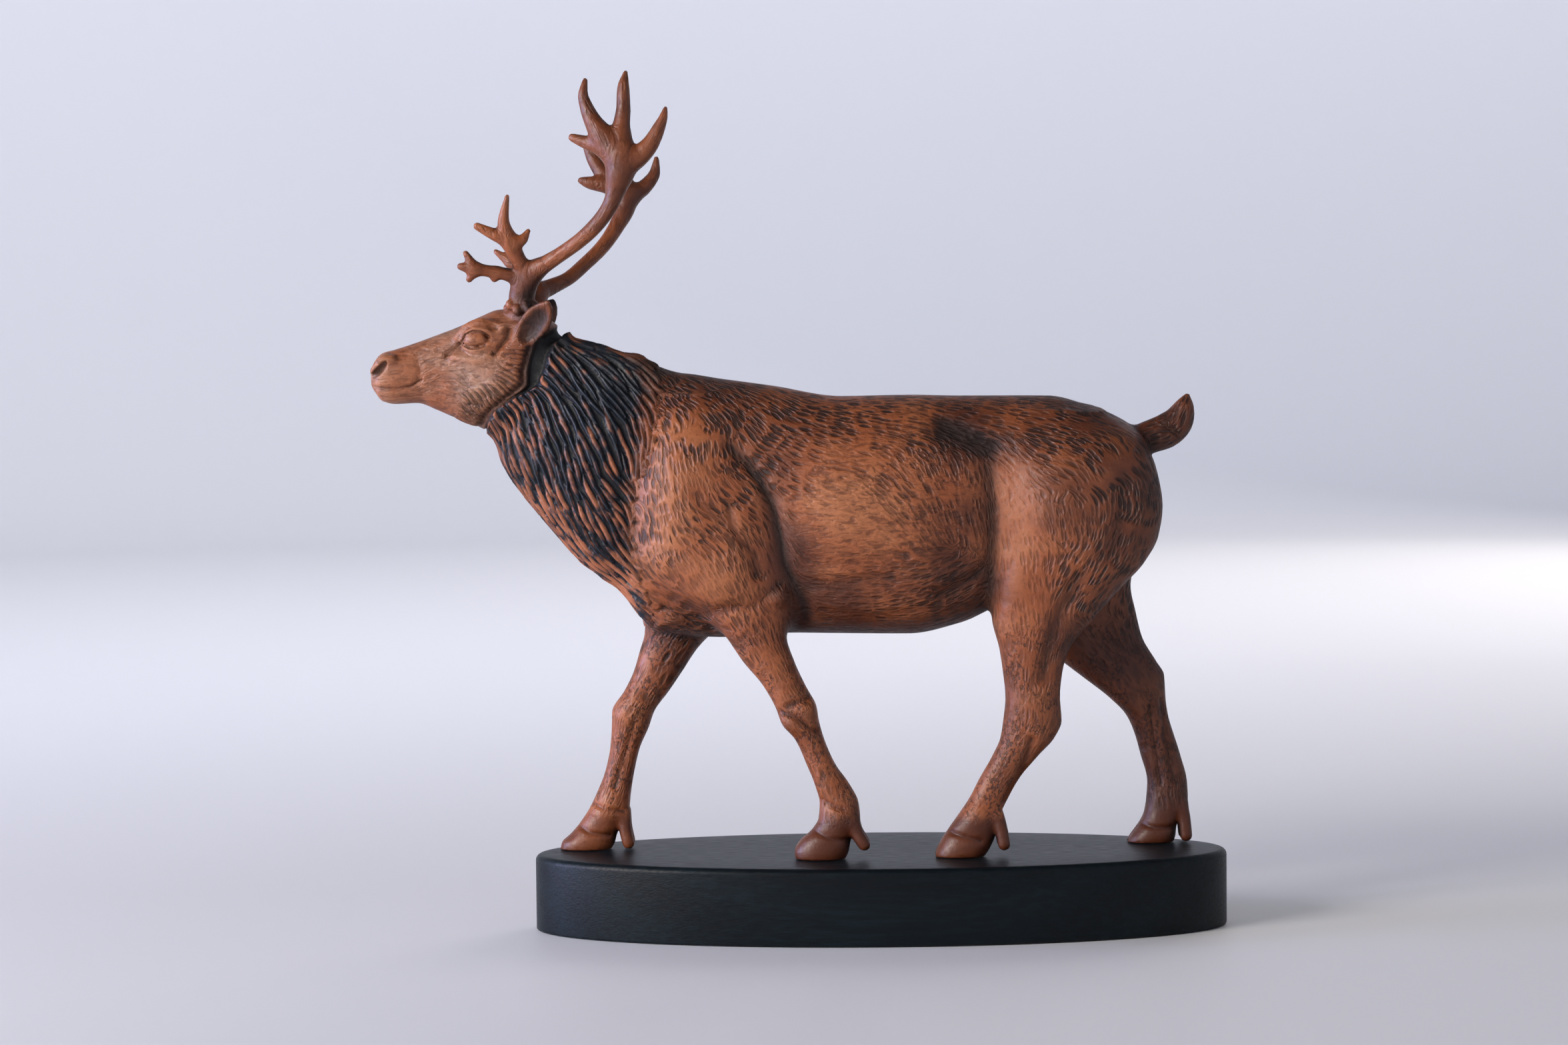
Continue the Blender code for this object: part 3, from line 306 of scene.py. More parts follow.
FAR_ANTLER = (
    ((-115.8, 2.5, 208.0, 4.4), (-116.4, 3.5, 213.5, 4.2), (-114.6, 6.0, 217.4, 3.4),
     (-110.8, 9.5, 219.2, 2.8), (-105.4, 14.0, 221.8, 2.4), (-99.6, 19.5, 226.8, 2.4),
     (-93.6, 25.0, 232.8, 2.5), (-89.4, 29.5, 239.0, 2.7), (-86.4, 33.0, 245.2, 3.5),
     (-85.2, 35.0, 250.6, 4.3)),
    ((-85.2, 35.0, 250.0, 3.4), (-86.6, 36.5, 258.0, 2.6), (-86.8, 37.5, 266.5, 1.8),
     (-86.2, 37.5, 273.0, 0.9)),
    ((-84.4, 35.0, 250.0, 3.4), (-79.2, 37.0, 253.4, 2.6), (-75.8, 38.5, 258.2, 1.9),
     (-75.2, 39.0, 263.0, 0.9)),
    ((-86.6, 35.0, 252.0, 3.6), (-92.4, 36.0, 256.6, 3.0), (-96.6, 37.0, 262.4, 2.5),
     (-99.4, 37.5, 268.6, 1.6)),
    ((-87.6, 34.5, 252.0, 3.3), (-93.4, 34.5, 254.2, 2.9), (-98.2, 34.2, 254.8, 2.2),
     (-101.2, 34.0, 255.6, 1.2)),
    ((-114.8, 4.5, 217.0, 3.0), (-120.0, 6.5, 223.6, 2.3), (-125.4, 8.0, 228.4, 1.7),
     (-129.4, 8.5, 231.4, 0.9)),
    ((-124.4, 7.5, 227.6, 1.7), (-124.6, 9.5, 233.0, 1.2), (-123.8, 10.5, 237.4, 0.8)),
)

# Knobs of the rough ring under each antler: ring middle, ring radius.
BURRS = ((-119.6, -9.0, 212.4, 4.9), (-116.2, 3.2, 211.6, 4.7))
BURR_KNOBS = 10
BURR_KNOB = 1.5

# The middle of the eye, x and z, and the reach of its lids.
EYE = (-135.0, 201.5)
EYE_REACH = (7.0, 5.0)

# Cuts of the carver, in the side view: points, width, depth, side. The side is
# -1 for the near one, 1 for the far one and 0 for both.
CUTS = (
    (((-50.0, 166.0), (-41.0, 156.5), (-36.4, 147.5), (-34.2, 136.5), (-32.0, 127.0), (-29.4, 120.0)),
     3.2, 1.4, 0),
    (((-44.0, 158.5), (-38.1, 150.8), (-35.3, 144.2), (-33.3, 136.6), (-32.2, 127.0), (-29.0, 120.6)),
     1.1, 1.8, 0),
    (((-50.5, 145.6), (-49.5, 139.4), (-46.7, 134.7), (-41.9, 129.9), (-41.0, 123.6)), 2.6, 1.0, 0),
    (((-61.0, 150.0), (-55.0, 143.0), (-50.0, 138.0)), 4.0, 0.6, 0),
    (((-63.0, 107.6), (-58.0, 109.8), (-51.4, 111.6), (-43.0, 112.4), (-37.6, 116.2), (-32.6, 120.4)),
     2.3, 0.8, -1),
    (((-40.0, 114.0), (-36.4, 117.4), (-32.2, 120.6)), 1.3, 1.0, -1),
    (((-29.0, 120.6), (-26.0, 114.0), (-25.0, 107.0)), 3.4, 1.3, -1),
    (((-73.0, 111.0), (-67.0, 108.2), (-56.5, 104.0)), 1.6, 1.0, -1),
    (((-30.0, 119.0), (-14.0, 119.6), (3.0, 121.4)), 3.4, 0.8, 0),
    (((-24.0, 128.0), (-8.0, 126.5), (8.0, 129.0)), 3.0, 0.5, 0),
    (((-20.0, 110.0), (-2.0, 108.0), (16.0, 111.0)), 2.0, 0.5, -1),
    (((20.0, 115.0), (29.0, 119.4), (36.5, 126.0)), 2.8, 1.1, 0),
    (((36.5, 110.0), (37.0, 124.0), (37.6, 142.0), (36.0, 158.0)), 4.4, 1.3, 0),
    (((37.2, 111.0), (37.6, 126.0), (38.0, 136.0)), 1.2, 0.9, 0),
    (((22.0, 171.0), (29.0, 168.0), (36.0, 164.0)), 6.0, 1.8, 0),
    (((81.0, 156.0), (80.5, 142.0), (77.0, 129.0)), 4.2, 0.9, -1),
    (((66.0, 121.0), (60.0, 110.0), (56.5, 99.0), (54.0, 87.0)), 3.4, 1.1, -1),
    (((50.5, 66.0), (47.0, 54.0), (41.6, 45.0)), 1.6, 0.9, -1),
    (((97.0, 76.0), (98.6, 62.0), (101.0, 48.0)), 1.3, 0.8, 1),
    (((92.6, 74.0), (94.4, 60.0), (96.4, 47.0)), 1.2, 0.7, 1),
    (((-84.0, 70.0), (-87.6, 58.0), (-91.0, 48.0)), 1.3, 0.7, 1),
    (((-21.6, 81.6), (-27.0, 80.4), (-31.6, 78.4)), 1.5, 1.1, -1),
    (((-34.0, 76.4), (-28.6, 74.8), (-24.0, 70.6), (-19.6, 69.0)), 1.4, 1.0, -1),
    (((-20.6, 46.4), (-13.0, 43.4)), 1.4, 0.7, -1),
    (((-117.0, 199.0), (-119.3, 191.0), (-119.4, 187.0), (-126.0, 181.4), (-132.0, 176.6), (-134.5, 172.0)),
     1.8, 1.8, 0),
    (((-171.5, 186.2), (-166.0, 185.4), (-161.6, 185.5), (-157.6, 186.2), (-154.0, 188.4)), 0.7, 0.9, 0),
    (((-155.4, 196.0), (-154.2, 191.6), (-155.6, 187.2)), 1.5, 0.45, 0),
    (((-140.0, 201.2), (-138.6, 203.6), (-135.8, 204.7), (-133.0, 204.4), (-130.8, 202.8)), 0.6, 0.9, 0),
    (((-139.4, 200.4), (-137.0, 199.3), (-134.4, 199.2), (-132.0, 200.2)), 0.55, 0.8, 0),
    (((-145.4, 196.8), (-142.8, 198.8), (-140.2, 200.6)), 1.0, 1.3, 0),
    (((-128.8, 197.4), (-126.8, 199.8), (-124.6, 202.4), (-124.0, 205.0)), 1.4, 1.6, 0),
    (((-98.5, 42.4), (-94.0, 40.4), (-88.0, 39.6)), 1.2, 0.8, 1),
    (((-103.6, 34.8), (-99.4, 32.4), (-92.6, 31.4)), 1.1, 0.8, 1),
    (((-23.6, 36.6), (-17.0, 33.4), (-11.0, 32.8)), 1.1, 0.6, -1),
    (((21.6, 35.4), (27.0, 33.6), (33.0, 32.0)), 1.1, 0.8, -1),
    (((89.6, 33.0), (95.0, 31.6), (101.0, 31.4)), 1.1, 0.7, 1),
)

# Muscles and bones under the skin: x, z, reach along x and z, height, side.
SWELLS = (
    (-68.0, 152.0, 11.0, 18.0, 1.3, 0),
    (-47.0, 137.0, 6.5, 11.0, 1.3, 0),
    (-52.0, 122.0, 11.0, 8.0, 1.2, 0),
    (-33.6, 116.0, 4.4, 3.8, 2.6, -1),
    (-74.0, 124.0, 8.0, 9.0, 0.8, 0),
    (-41.0, 150.0, 3.4, 6.0, 0.8, 0),
    (-6.0, 146.0, 20.0, 16.0, 1.1, 0),
    (2.0, 110.0, 24.0, 5.0, 1.0, 0),
    (18.0, 122.0, 10.0, 4.0, 0.6, 0),
    (57.0, 147.0, 12.0, 17.0, 1.6, 0),
    (45.0, 122.0, 5.5, 10.0, 1.0, -1),
    (72.0, 166.0, 10.0, 7.0, 0.6, 0),
    (46.0, 168.0, 8.0, 6.0, 0.8, 0),
    (-31.5, 100.0, 4.0, 9.0, 0.5, -1),
    (-24.0, 77.0, 3.4, 4.2, 1.3, -1),
    (-31.5, 72.5, 3.4, 4.4, 1.0, -1),
    (-20.0, 52.0, 3.6, 8.0, 0.5, -1),
    (-84.5, 75.0, 4.0, 5.0, 0.6, 1),
    (52.0, 78.0, 5.0, 7.0, 0.7, -1),
    (90.0, 82.0, 5.0, 7.0, 0.7, 1),
    (-14.5, 40.5, 3.4, 3.4, 0.6, -1),
    (-93.0, 41.0, 3.4, 3.4, 0.6, 1),
    (32.0, 40.0, 3.4, 3.4, 0.6, -1),
    (-165.0, 195.5, 4.4, 2.6, 0.5, 0),
    (-150.0, 187.0, 6.0, 4.0, -0.4, 0),
    (-130.0, 190.0, 7.0, 8.0, 0.5, 0),
)

# The rear border of the mane and its border along the jaw: z, x.
MANE_REAR = (
    (103.0, -79.0), (109.5, -79.5), (114.0, -80.5), (122.0, -82.5), (136.0, -85.0), (148.0, -84.0),
    (165.0, -81.5), (180.0, -80.6), (188.0, -79.8), (196.0, -86.0), (206.0, -104.0),
)
MANE_JAW = (
    (100.0, -150.0), (168.0, -134.0), (172.0, -133.0), (176.6, -131.0), (181.4, -125.0),
    (187.0, -118.4), (191.0, -118.2), (199.0, -116.0), (208.0, -106.0),
)

# Lie of the carver's strokes in the side view: x, z, angle in degrees from the
# level, counted up towards the rear.
COMB = (
    (-168.0, 190.0, 18.0), (-152.0, 192.0, 20.0), (-144.0, 186.0, -14.0), (-146.0, 196.0, 18.0),
    (-136.0, 190.0, -30.0), (-130.0, 193.0, -14.0), (-124.0, 196.0, -2.0), (-121.0, 193.0, -14.0),
    (-123.0, 188.0, -32.0), (-127.0, 184.0, -48.0), (-133.0, 180.0, -66.0), (-138.0, 178.0, -40.0),
    (-125.0, 206.0, 30.0), (-112.0, 196.0, -50.0), (-96.0, 200.0, -38.0),
    (-100.0, 188.0, -58.0), (-118.0, 176.0, -66.0), (-131.0, 164.0, -80.0), (-104.0, 172.0, -66.0),
    (-92.0, 182.0, -52.0), (-88.0, 168.0, -66.0), (-86.0, 150.0, -48.0), (-102.0, 156.0, -72.0),
    (-120.0, 152.0, -70.0), (-110.0, 136.0, -62.0), (-96.0, 138.0, -64.0), (-90.0, 124.0, -52.0),
    (-84.0, 114.0, -42.0), (-72.0, 106.0, -34.0), (-56.0, 101.0, -16.0),
    (-76.0, 186.0, -58.0), (-66.0, 180.0, -58.0), (-56.0, 176.0, -56.0), (-58.0, 169.0, -88.0),
    (-38.0, 176.0, -50.0), (-30.0, 165.0, -32.0), (-78.0, 160.0, -84.0), (-76.0, 140.0, -80.0),
    (-62.0, 152.0, -76.0), (-56.0, 139.0, -42.0), (-46.0, 150.0, -40.0), (-44.0, 128.0, -70.0),
    (-60.0, 122.0, -58.0), (-12.0, 178.0, -16.0), (12.0, 178.0, -12.0), (-16.0, 160.0, -16.0),
    (-14.0, 140.0, -8.0), (-12.0, 120.0, -3.0), (-12.0, 106.0, -4.0), (12.0, 108.0, 8.0),
    (26.0, 114.0, 24.0), (6.0, 150.0, -40.0), (18.0, 152.0, -66.0), (30.0, 152.0, -78.0),
    (34.0, 176.0, -16.0), (54.0, 176.0, -20.0), (70.0, 172.0, -30.0), (46.0, 160.0, -40.0),
    (60.0, 158.0, -28.0), (74.0, 158.0, -50.0), (84.0, 160.0, -62.0), (82.0, 148.0, -86.0),
    (80.0, 134.0, 72.0), (74.0, 118.0, 58.0), (62.0, 140.0, -80.0), (50.0, 138.0, -76.0),
    (66.0, 124.0, 64.0), (48.0, 112.0, -84.0), (60.0, 96.0, 80.0), (48.0, 84.0, 86.0),
    (46.0, 66.0, 66.0), (30.0, 40.0, 50.0), (24.0, 30.0, 12.0), (-44.0, 108.0, -66.0),
    (-38.0, 92.0, -62.0), (-30.0, 76.0, -66.0), (-20.0, 58.0, -68.0), (-14.0, 40.0, -80.0),
    (-20.0, 30.0, 18.0), (-70.0, 98.0, 60.0), (-80.0, 80.0, 62.0), (-88.0, 60.0, 74.0),
    (-92.0, 42.0, 60.0), (-100.0, 30.0, 18.0), (70.0, 98.0, -46.0), (88.0, 80.0, -60.0),
    (95.0, 60.0, -76.0), (98.0, 40.0, -86.0), (94.0, 29.0, 8.0), (94.0, 168.0, 12.0),
    (102.0, 174.0, 66.0), (-118.0, 216.0, 84.0), (-104.0, 231.0, 38.0), (-90.0, 246.0, 58.0),
    (-85.0, 262.0, 86.0), (-84.0, 284.0, 88.0), (-74.0, 266.0, 60.0), (-94.0, 272.0, 112.0),
    (-124.0, 240.0, 100.0), (-130.0, 224.0, -6.0),
)

# How strongly the chisel marks show: x, z, strength.
STROKES = (
    (-68.0, 107.0, 1.0), (-168.0, 190.0, 0.12), (-150.0, 188.0, 0.3), (-134.0, 186.0, 0.35),
    (-126.0, 190.0, 0.2),
    (-136.0, 202.0, 0.1), (-118.0, 214.0, 0.2), (-74.0, 184.0, 1.0), (-62.0, 178.0, 1.0),
    (-56.0, 168.0, 0.95), (-40.0, 176.0, 0.95), (-30.0, 165.0, 0.8), (-12.0, 177.0, 0.85),
    (12.0, 177.0, 0.8), (-72.0, 150.0, 0.5), (-62.0, 154.0, 0.25), (-56.0, 140.0, 0.85),
    (-46.0, 150.0, 0.8), (-60.0, 122.0, 0.3), (-42.0, 128.0, 0.45), (-16.0, 158.0, 0.3),
    (-14.0, 140.0, 0.16), (-12.0, 120.0, 0.3), (0.0, 104.0, 0.6), (24.0, 112.0, 0.7),
    (16.0, 152.0, 0.55), (28.0, 150.0, 0.5), (34.0, 176.0, 0.85), (56.0, 174.0, 0.95),
    (72.0, 168.0, 0.95), (46.0, 152.0, 0.25), (50.0, 138.0, 0.2), (82.0, 150.0, 0.9),
    (76.0, 134.0, 0.8), (62.0, 142.0, 0.5), (70.0, 120.0, 0.8), (48.0, 112.0, 0.25),
    (48.0, 80.0, 0.3), (30.0, 40.0, 0.2), (-30.0, 76.0, 0.3), (-88.0, 60.0, 0.3),
    (96.0, 60.0, 0.35), (100.0, 172.0, 0.9), (-90.0, 246.0, 0.2), (-79.0, 150.0, 0.9),
    (-77.0, 136.0, 0.8), (-76.0, 166.0, 0.95), (-75.0, 122.0, 0.6), (-68.0, 171.0, 1.0),
)

# How dark the glaze was left, with painted shade and painted light where the figure is shaded or lit: x, z,
# darkness.
GLAZE_AND_LIGHTING_TONES = (
    (-168.0, 190.0, 0.3), (-150.0, 194.0, 0.35), (-134.0, 190.0, 0.1), (-126.0, 208.0, 0.3),
    (-118.0, 218.0, 0.75), (-106.0, 230.0, 0.6), (-90.0, 246.0, 0.75), (-85.0, 264.0, 0.8),
    (-84.0, 288.0, 0.8), (-136.0, 225.0, 0.5), (-124.0, 244.0, 0.5), (-72.0, 186.0, 0.7),
    (-50.0, 182.0, 0.75), (-20.0, 180.0, 0.5), (10.0, 178.0, 0.5), (40.0, 178.0, 0.55),
    (66.0, 174.0, 0.85), (84.0, 166.0, 0.75), (90.0, 150.0, 0.8), (84.0, 130.0, 0.8),
    (72.0, 112.0, 0.7), (-66.0, 166.0, 0.4), (-70.0, 140.0, 0.15), (-56.0, 146.0, 0.35),
    (-40.0, 160.0, 0.65), (-44.0, 134.0, 0.45), (-60.0, 122.0, 0.3), (-62.0, 106.0, 0.6),
    (-40.0, 108.0, 0.4), (-12.0, 162.0, 0.3), (-14.0, 146.0, 0.0), (2.0, 140.0, 0.15),
    (18.0, 150.0, 0.45), (30.0, 168.0, 0.95), (32.0, 142.0, 0.7), (30.0, 120.0, 0.8),
    (-16.0, 126.0, 0.35), (-20.0, 108.0, 0.7), (4.0, 114.0, 0.55), (10.0, 102.0, 0.7),
    (43.0, 146.0, 0.2), (46.0, 130.0, 0.3), (58.0, 148.0, 0.6), (74.0, 150.0, 0.7),
    (58.0, 124.0, 0.45), (46.0, 106.0, 0.25), (60.0, 104.0, 0.75), (46.0, 80.0, 0.4),
    (44.0, 60.0, 0.5), (32.0, 40.0, 0.45), (24.0, 28.0, 0.3), (-40.0, 92.0, 0.3),
    (-28.0, 76.0, 0.4), (-18.0, 54.0, 0.4), (-14.0, 38.0, 0.5), (-22.0, 28.0, 0.4),
    (-70.0, 96.0, 0.5), (-84.0, 74.0, 0.35), (-92.0, 52.0, 0.3), (-104.0, 29.0, 0.15),
    (76.0, 96.0, 0.75), (92.0, 84.0, 0.7), (97.0, 56.0, 0.65), (96.0, 30.0, 0.8),
    (92.0, 166.0, 1.0), (100.0, 172.0, 1.0), (103.0, 178.0, 0.8), (-104.0, 186.0, 0.6),
    (-96.0, 170.0, 0.65), (-108.0, 160.0, 0.5), (-116.0, 172.0, 0.45), (-124.0, 170.0, 0.3),
    (-132.0, 162.0, 0.2), (-120.0, 148.0, 0.1), (-106.0, 132.0, 0.1), (-92.0, 118.0, 0.1),
    (-94.0, 140.0, 0.3), (-88.0, 154.0, 0.3), (-92.0, 184.0, 0.7), (-24.0, 112.0, 1.0),
    (-28.0, 120.0, 1.0), (-14.0, 111.0, 0.9), (-33.0, 133.0, 0.9), (-115.5, 205.5, 0.7),
)


class Stacking(Enum):
    """How the oval sections of a mass are stacked."""

    LONG = "along the body"
    UPRIGHT = "up a limb"
    NECK = "along the neck"


def linear(colour: str) -> tuple[float, float, float, float]:
    """Turns an sRGB hex colour into linear light.

    Args:
        colour: six hex digits after a hash.

    Returns:
        Red, green, blue and an alpha of one.
    """
    parts = [int(colour[i : i + 2], 16) / 255 for i in (1, 3, 5)]
    red, green, blue = (c / 12.92 if c <= 0.04045 else ((c + 0.055) / 1.055) ** 2.4 for c in parts)
    return red, green, blue, 1.0


def ease(low: float, high: float, value: Array) -> Array:
    """Eases a value: 0 below low, 1 above high, 3s^2 - 2s^3 of the share s between.

    Args:
        low: where it starts to rise.
        high: where it is whole.
        value: what is eased.

    Returns:
        The eased shares.
    """
    share = np.clip((value - low) / (high - low), 0, 1)
    return share * share * (3 - 2 * share)


def curve(knots: Array, values: Array, at: Array) -> Array:
    """Reads a smooth curve through drawn values that never swings past them.

    Each span is a cubic with the drawn values at its ends and, as slopes there,
    the weighted harmonic mean of the rises on both sides, or 0 at a turn.

    Args:
        knots: rising stations.
        values: one row of values a station.
        at: where the curve is read.

    Returns:
        One row of values for each entry of at.
    """
    knots = np.asarray(knots, float)
    values = np.asarray(values, float)
    step = np.diff(knots)[:, None]
    rise = np.diff(values, axis=0) / step
    slope = np.zeros_like(values)
    slope[0], slope[-1] = rise[0], rise[-1]
    before, after = rise[:-1], rise[1:]
    same = before * after > 0
    weighted = (step[:-1] + 2 * step[1:]) / np.where(same, before, 1)
    weighted += (2 * step[:-1] + step[1:]) / np.where(same, after, 1)
    slope[1:-1] = np.where(same, 3 * (step[:-1] + step[1:]) / np.where(same, weighted, 1), 0)
    at = np.clip(at, knots[0], knots[-1])
    span = np.clip(np.searchsorted(knots, at) - 1, 0, len(knots) - 2)
    size = step[span]
    share = ((at - knots[span])[..., None]) / size
    rest = 1 - share
    return (
        values[span] * (1 + 2 * share) * rest**2
        + slope[span] * size * share * rest**2
        + values[span + 1] * (3 - 2 * share) * share**2
        - slope[span + 1] * size * rest * share**2
    )


def line_distance(x: Array, z: Array, line: Rows) -> Array:
    """Finds the distance in the side view to a bent line.

    Args:
        x: places along the body.
        z: heights.
        line: the points of the line, x and z.

    Returns:
        The distance to the nearest of its straight stretches.
    """
    best = np.full(x.shape, 1e9)
    for (ax, az), (bx, bz) in zip(line[:-1], line[1:]):
        dx, dz = bx - ax, bz - az
        share = np.clip(((x - ax) * dx + (z - az) * dz) / (dx * dx + dz * dz), 0, 1)
        best = np.minimum(best, np.hypot(x - ax - share * dx, z - az - share * dz))
    return best


class Lattice:
    """Regular points around the figure, each holding its distance to the skin."""

    def __init__(self, low: Row, high: Row, pitch: float) -> None:
        """Lays the points out.

        Args:
            low: lowest corner, drawn millimetres.
            high: highest corner.
            pitch: spacing of the points.
        """
        self.pitch = pitch
        self.axes = [np.arange(a, b + pitch, pitch) for a, b in zip(low, high)]
        self.values = np.full([len(axis) for axis in self.axes], FAR_AWAY, np.float32)

    def window(self, low: Row, high: Row) -> tuple[tuple[slice, ...], Array, Array, Array]:
        """Picks the points in a box.

        Args:
            low: lowest corner of the box.
            high: its highest corner.

        Returns:
            Index ranges, and the x, y and z of the points as open axes.
        """
        spans = []
        for axis, a, b in zip(self.axes, low, high):
            first, last = np.searchsorted(axis, (a, b))
            spans.append(slice(max(first - 1, 0), min(last + 1, len(axis))))
        x, y, z = (axis[span].astype(np.float32) for axis, span in zip(self.axes, spans))
        return tuple(spans), x[:, None, None], y[None, :, None], z[None, None, :]

    def join(self, spans: tuple[slice, ...], distance: Array, blend: float, side: int = 1) -> None:
        """Adds a mass: the lesser distance, less a quarter of blend times the squared overlap.

        Taking it away is the same with the inside and the outside of the figure
        swapped, so that its distances change sign before and after.

        Args:
            spans: where the mass lies in the lattice.
            distance: distance to it.
            blend: width of the fillet where it meets the rest.
            side: 1 to add the mass, -1 to take it away.
        """
        here = side * self.values[spans]
        overlap = np.maximum(blend - np.abs(here - distance), 0) / blend
        self.values[spans] = side * (np.minimum(here, distance) - overlap * overlap * (blend / 4))

    def stack(self, rows: Rows, kind: Stacking, power: float, blend: float) -> None:
        """Joins a mass made of oval sections, (|a| / A)^power + (|b| / B)^power = 1 each.

        Args:
            rows: the drawn sections.
            kind: how they are stacked.
            power: 2 for plain ovals, more for squarer ones.
            blend: width of the fillet.
        """
        table = np.array(sorted(rows), float)
        margin = blend + STACK_ROOM
        wide = table[:, 3].max() + margin
        middles = table[:, 4] if table.shape[1] > 4 else np.full(len(table), MIDDLE_Y)
        low_y, high_y = middles.min() - wide, middles.max() + wide
        first, last = table[0, 0], table[-1, 0]
        least, most = table[:, 1:3].min(), table[:, 1:3].max()
        if kind is Stacking.LONG:
            box = (first - margin, low_y, least - margin), (last + margin, high_y, most + margin)
        elif kind is Stacking.UPRIGHT:
            box = (least - margin, low_y, first - margin), (most + margin, high_y, last + margin)
        else:
            box = (NECK_LOW[0], low_y, NECK_LOW[1]), (NECK_HIGH[0], high_y, NECK_HIGH[1])
        spans, x, y, z = self.window(*box)
        if kind is Stacking.LONG:
            station, side = x, z
        elif kind is Stacking.UPRIGHT:
            station, side = z, x
        else:
            station, side = along_neck(x, z)
        found = curve(table[:, 0], table[:, 1:], station).astype(np.float32)
        half = np.abs(found[..., 1] - found[..., 0]) / 2
        middle = (found[..., 1] + found[..., 0]) / 2
        deep = y - (found[..., 3] if table.shape[1] > 4 else np.float32(MIDDLE_Y))
        width = found[..., 2]
        reach = ((np.abs(side - middle) / half) ** power + (np.abs(deep) / width) ** power) ** (1 / power)
        distance = (reach - 1) * np.minimum(half, width)
        beyond = np.maximum(first - station, station - last)
        self.join(spans, np.maximum(distance, beyond.astype(np.float32)), blend)

    def cord(self, points: Rows, blend: float, remove: bool = False) -> None:
        """Joins or takes away a rod with rounded ends along a smooth bent line.

        Args:
            points: x, y, z, radius in the side view and, if it isn't round, radius across.
            blend: width of the fillet.
            remove: whether the rod is taken away.
        """
        table = np.array(points, float)
        if table.shape[1] == 4:
            table = np.column_stack([table, table[:, 3]])
        if len(table) > 2:
            last = len(table) - 1
            table = curve(np.arange(last + 1.0), table, np.linspace(0, last, CORD_PIECES * last + 1))
        reach = table[:, 3:].max() + blend + CORD_ROOM
        spans, x, y, z = self.window(table[:, :3].min(0) - reach, table[:, :3].max(0) + reach)
        whole = np.full((x.shape[0], y.shape[1], z.shape[2]), FAR_AWAY, np.float32)
        for a, b in zip(table[:-1], table[1:]):
            line = (b - a)[:3]
            length = max(float(line @ line), 1e-6)
            share = ((x - a[0]) * line[0] + (y - a[1]) * line[1] + (z - a[2]) * line[2]) / length
            share = np.clip(share, 0, 1)
            radius, across = a[3] + share * (b[3] - a[3]), a[4] + share * (b[4] - a[4])
            off = np.hypot(x - a[0] - share * line[0], z - a[2] - share * line[2]) / radius
            off = np.hypot(off, (y - a[1] - share * line[1]) / across)
            whole = np.minimum(whole, (off - 1) * np.minimum(radius, across)).astype(np.float32)
        self.join(spans, whole, blend, -1 if remove else 1)

    def read(self, points: Array) -> Array:
        """Reads the distance at any place, each axis weighing its two nearest lattice points.

        Args:
            points: places in drawn millimetres.

        Returns:
            Distance to the skin.
        """
        low = np.array([axis[0] for axis in self.axes])
        last = np.array(self.values.shape) - 2
        spot = (points - low) / self.pitch
        cell = np.clip(np.floor(spot).astype(int), 0, last)
        share = np.clip(spot - cell, 0, 1)
        total = np.zeros(len(points))
        for i in (0, 1):
            for j in (0, 1):
                for k in (0, 1):
                    weight = np.prod(np.abs(np.array([1 - i, 1 - j, 1 - k]) - share), axis=1)
                    total += weight * self.values[cell[:, 0] + i, cell[:, 1] + j, cell[:, 2] + k]
        return total

    def open_pinches(self) -> None:
        """Fills the lattice points where the skin would touch itself along an edge."""
        for _ in range(PINCH_ROUNDS):
            inside = self.values < 0
            fill = np.zeros_like(inside)
            for first, second in ((0, 1), (0, 2), (1, 2)):
                corner = [[slice(None)] * 3 for _ in range(4)]
                for number, (a, b) in enumerate(((0, 0), (1, 0), (0, 1), (1, 1))):
                    corner[number][first] = slice(a, inside.shape[first] - 1 + a)
                    corner[number][second] = slice(b, inside.shape[second] - 1 + b)
                c00, c10, c01, c11 = (inside[tuple(part)] for part in corner)
                crossed = (c00 == c11) & (c10 == c01) & (c00 != c10)
                for part in corner:
                    fill[tuple(part)] |= crossed
            fill &= ~inside
            if not fill.any():
                break
            self.values[fill] = PINCH_DEPTH

    def skin(self) -> tuple[Array, Array]:
        """Draws the surface where the distance is zero.

        Every lattice cell that the surface passes through gets one point, the
        mean of the places where the surface crosses the cell's edges, and every
        lattice edge that it crosses gets one four-sided face.

        Returns:
            Points in drawn millimetres, and faces as rows of four.
        """
        self.open_pinches()
        values = self.values
        inside = values < 0
        shape = tuple(n - 1 for n in values.shape)
        count = np.zeros(shape, np.uint8)
        corners = [(i, j, k) for i in (0, 1) for j in (0, 1) for k in (0, 1)]
        for i, j, k in corners:
            count += inside[i : i + shape[0], j : j + shape[1], k : k + shape[2]]
        cells = np.argwhere((count > 0) & (count < 8))
        number = np.full(shape, -1, np.int32)
        number[tuple(cells.T)] = np.arange(len(cells))
        total = np.zeros((len(cells), 3))
        hits = np.zeros(len(cells))
        for a in corners:
            for axis in range(3):
                if a[axis]:
                    continue
                b = list(a)
                b[axis] = 1
                value_a = values[tuple((cells + a).T)]
                value_b = values[tuple((cells + b).T)]
                crossed = (value_a < 0) != (value_b < 0)
                share = np.where(crossed, value_a / np.where(crossed, value_a - value_b, 1), 0)
                place = np.array(a, float)[None, :].repeat(len(cells), 0)
                place[:, axis] = share
                total += place * crossed[:, None]
                hits += crossed
        low = np.array([axis[0] for axis in self.axes])
        points = low + (cells + total / hits[:, None]) * self.pitch
        faces = []
        for axis in range(3):
            other, third = (axis + 1) % 3, (axis + 2) % 3
            ahead = [slice(None)] * 3
            ahead[axis] = slice(1, None)
            back = [slice(None)] * 3
            back[axis] = slice(None, -1)
            flips = np.argwhere(inside[tuple(ahead)] != inside[tuple(back)])
            keep = (flips[:, other] > 0) & (flips[:, third] > 0)
            keep &= (flips[:, other] < shape[other]) & (flips[:, third] < shape[third])
            flips = flips[keep]
            around = []
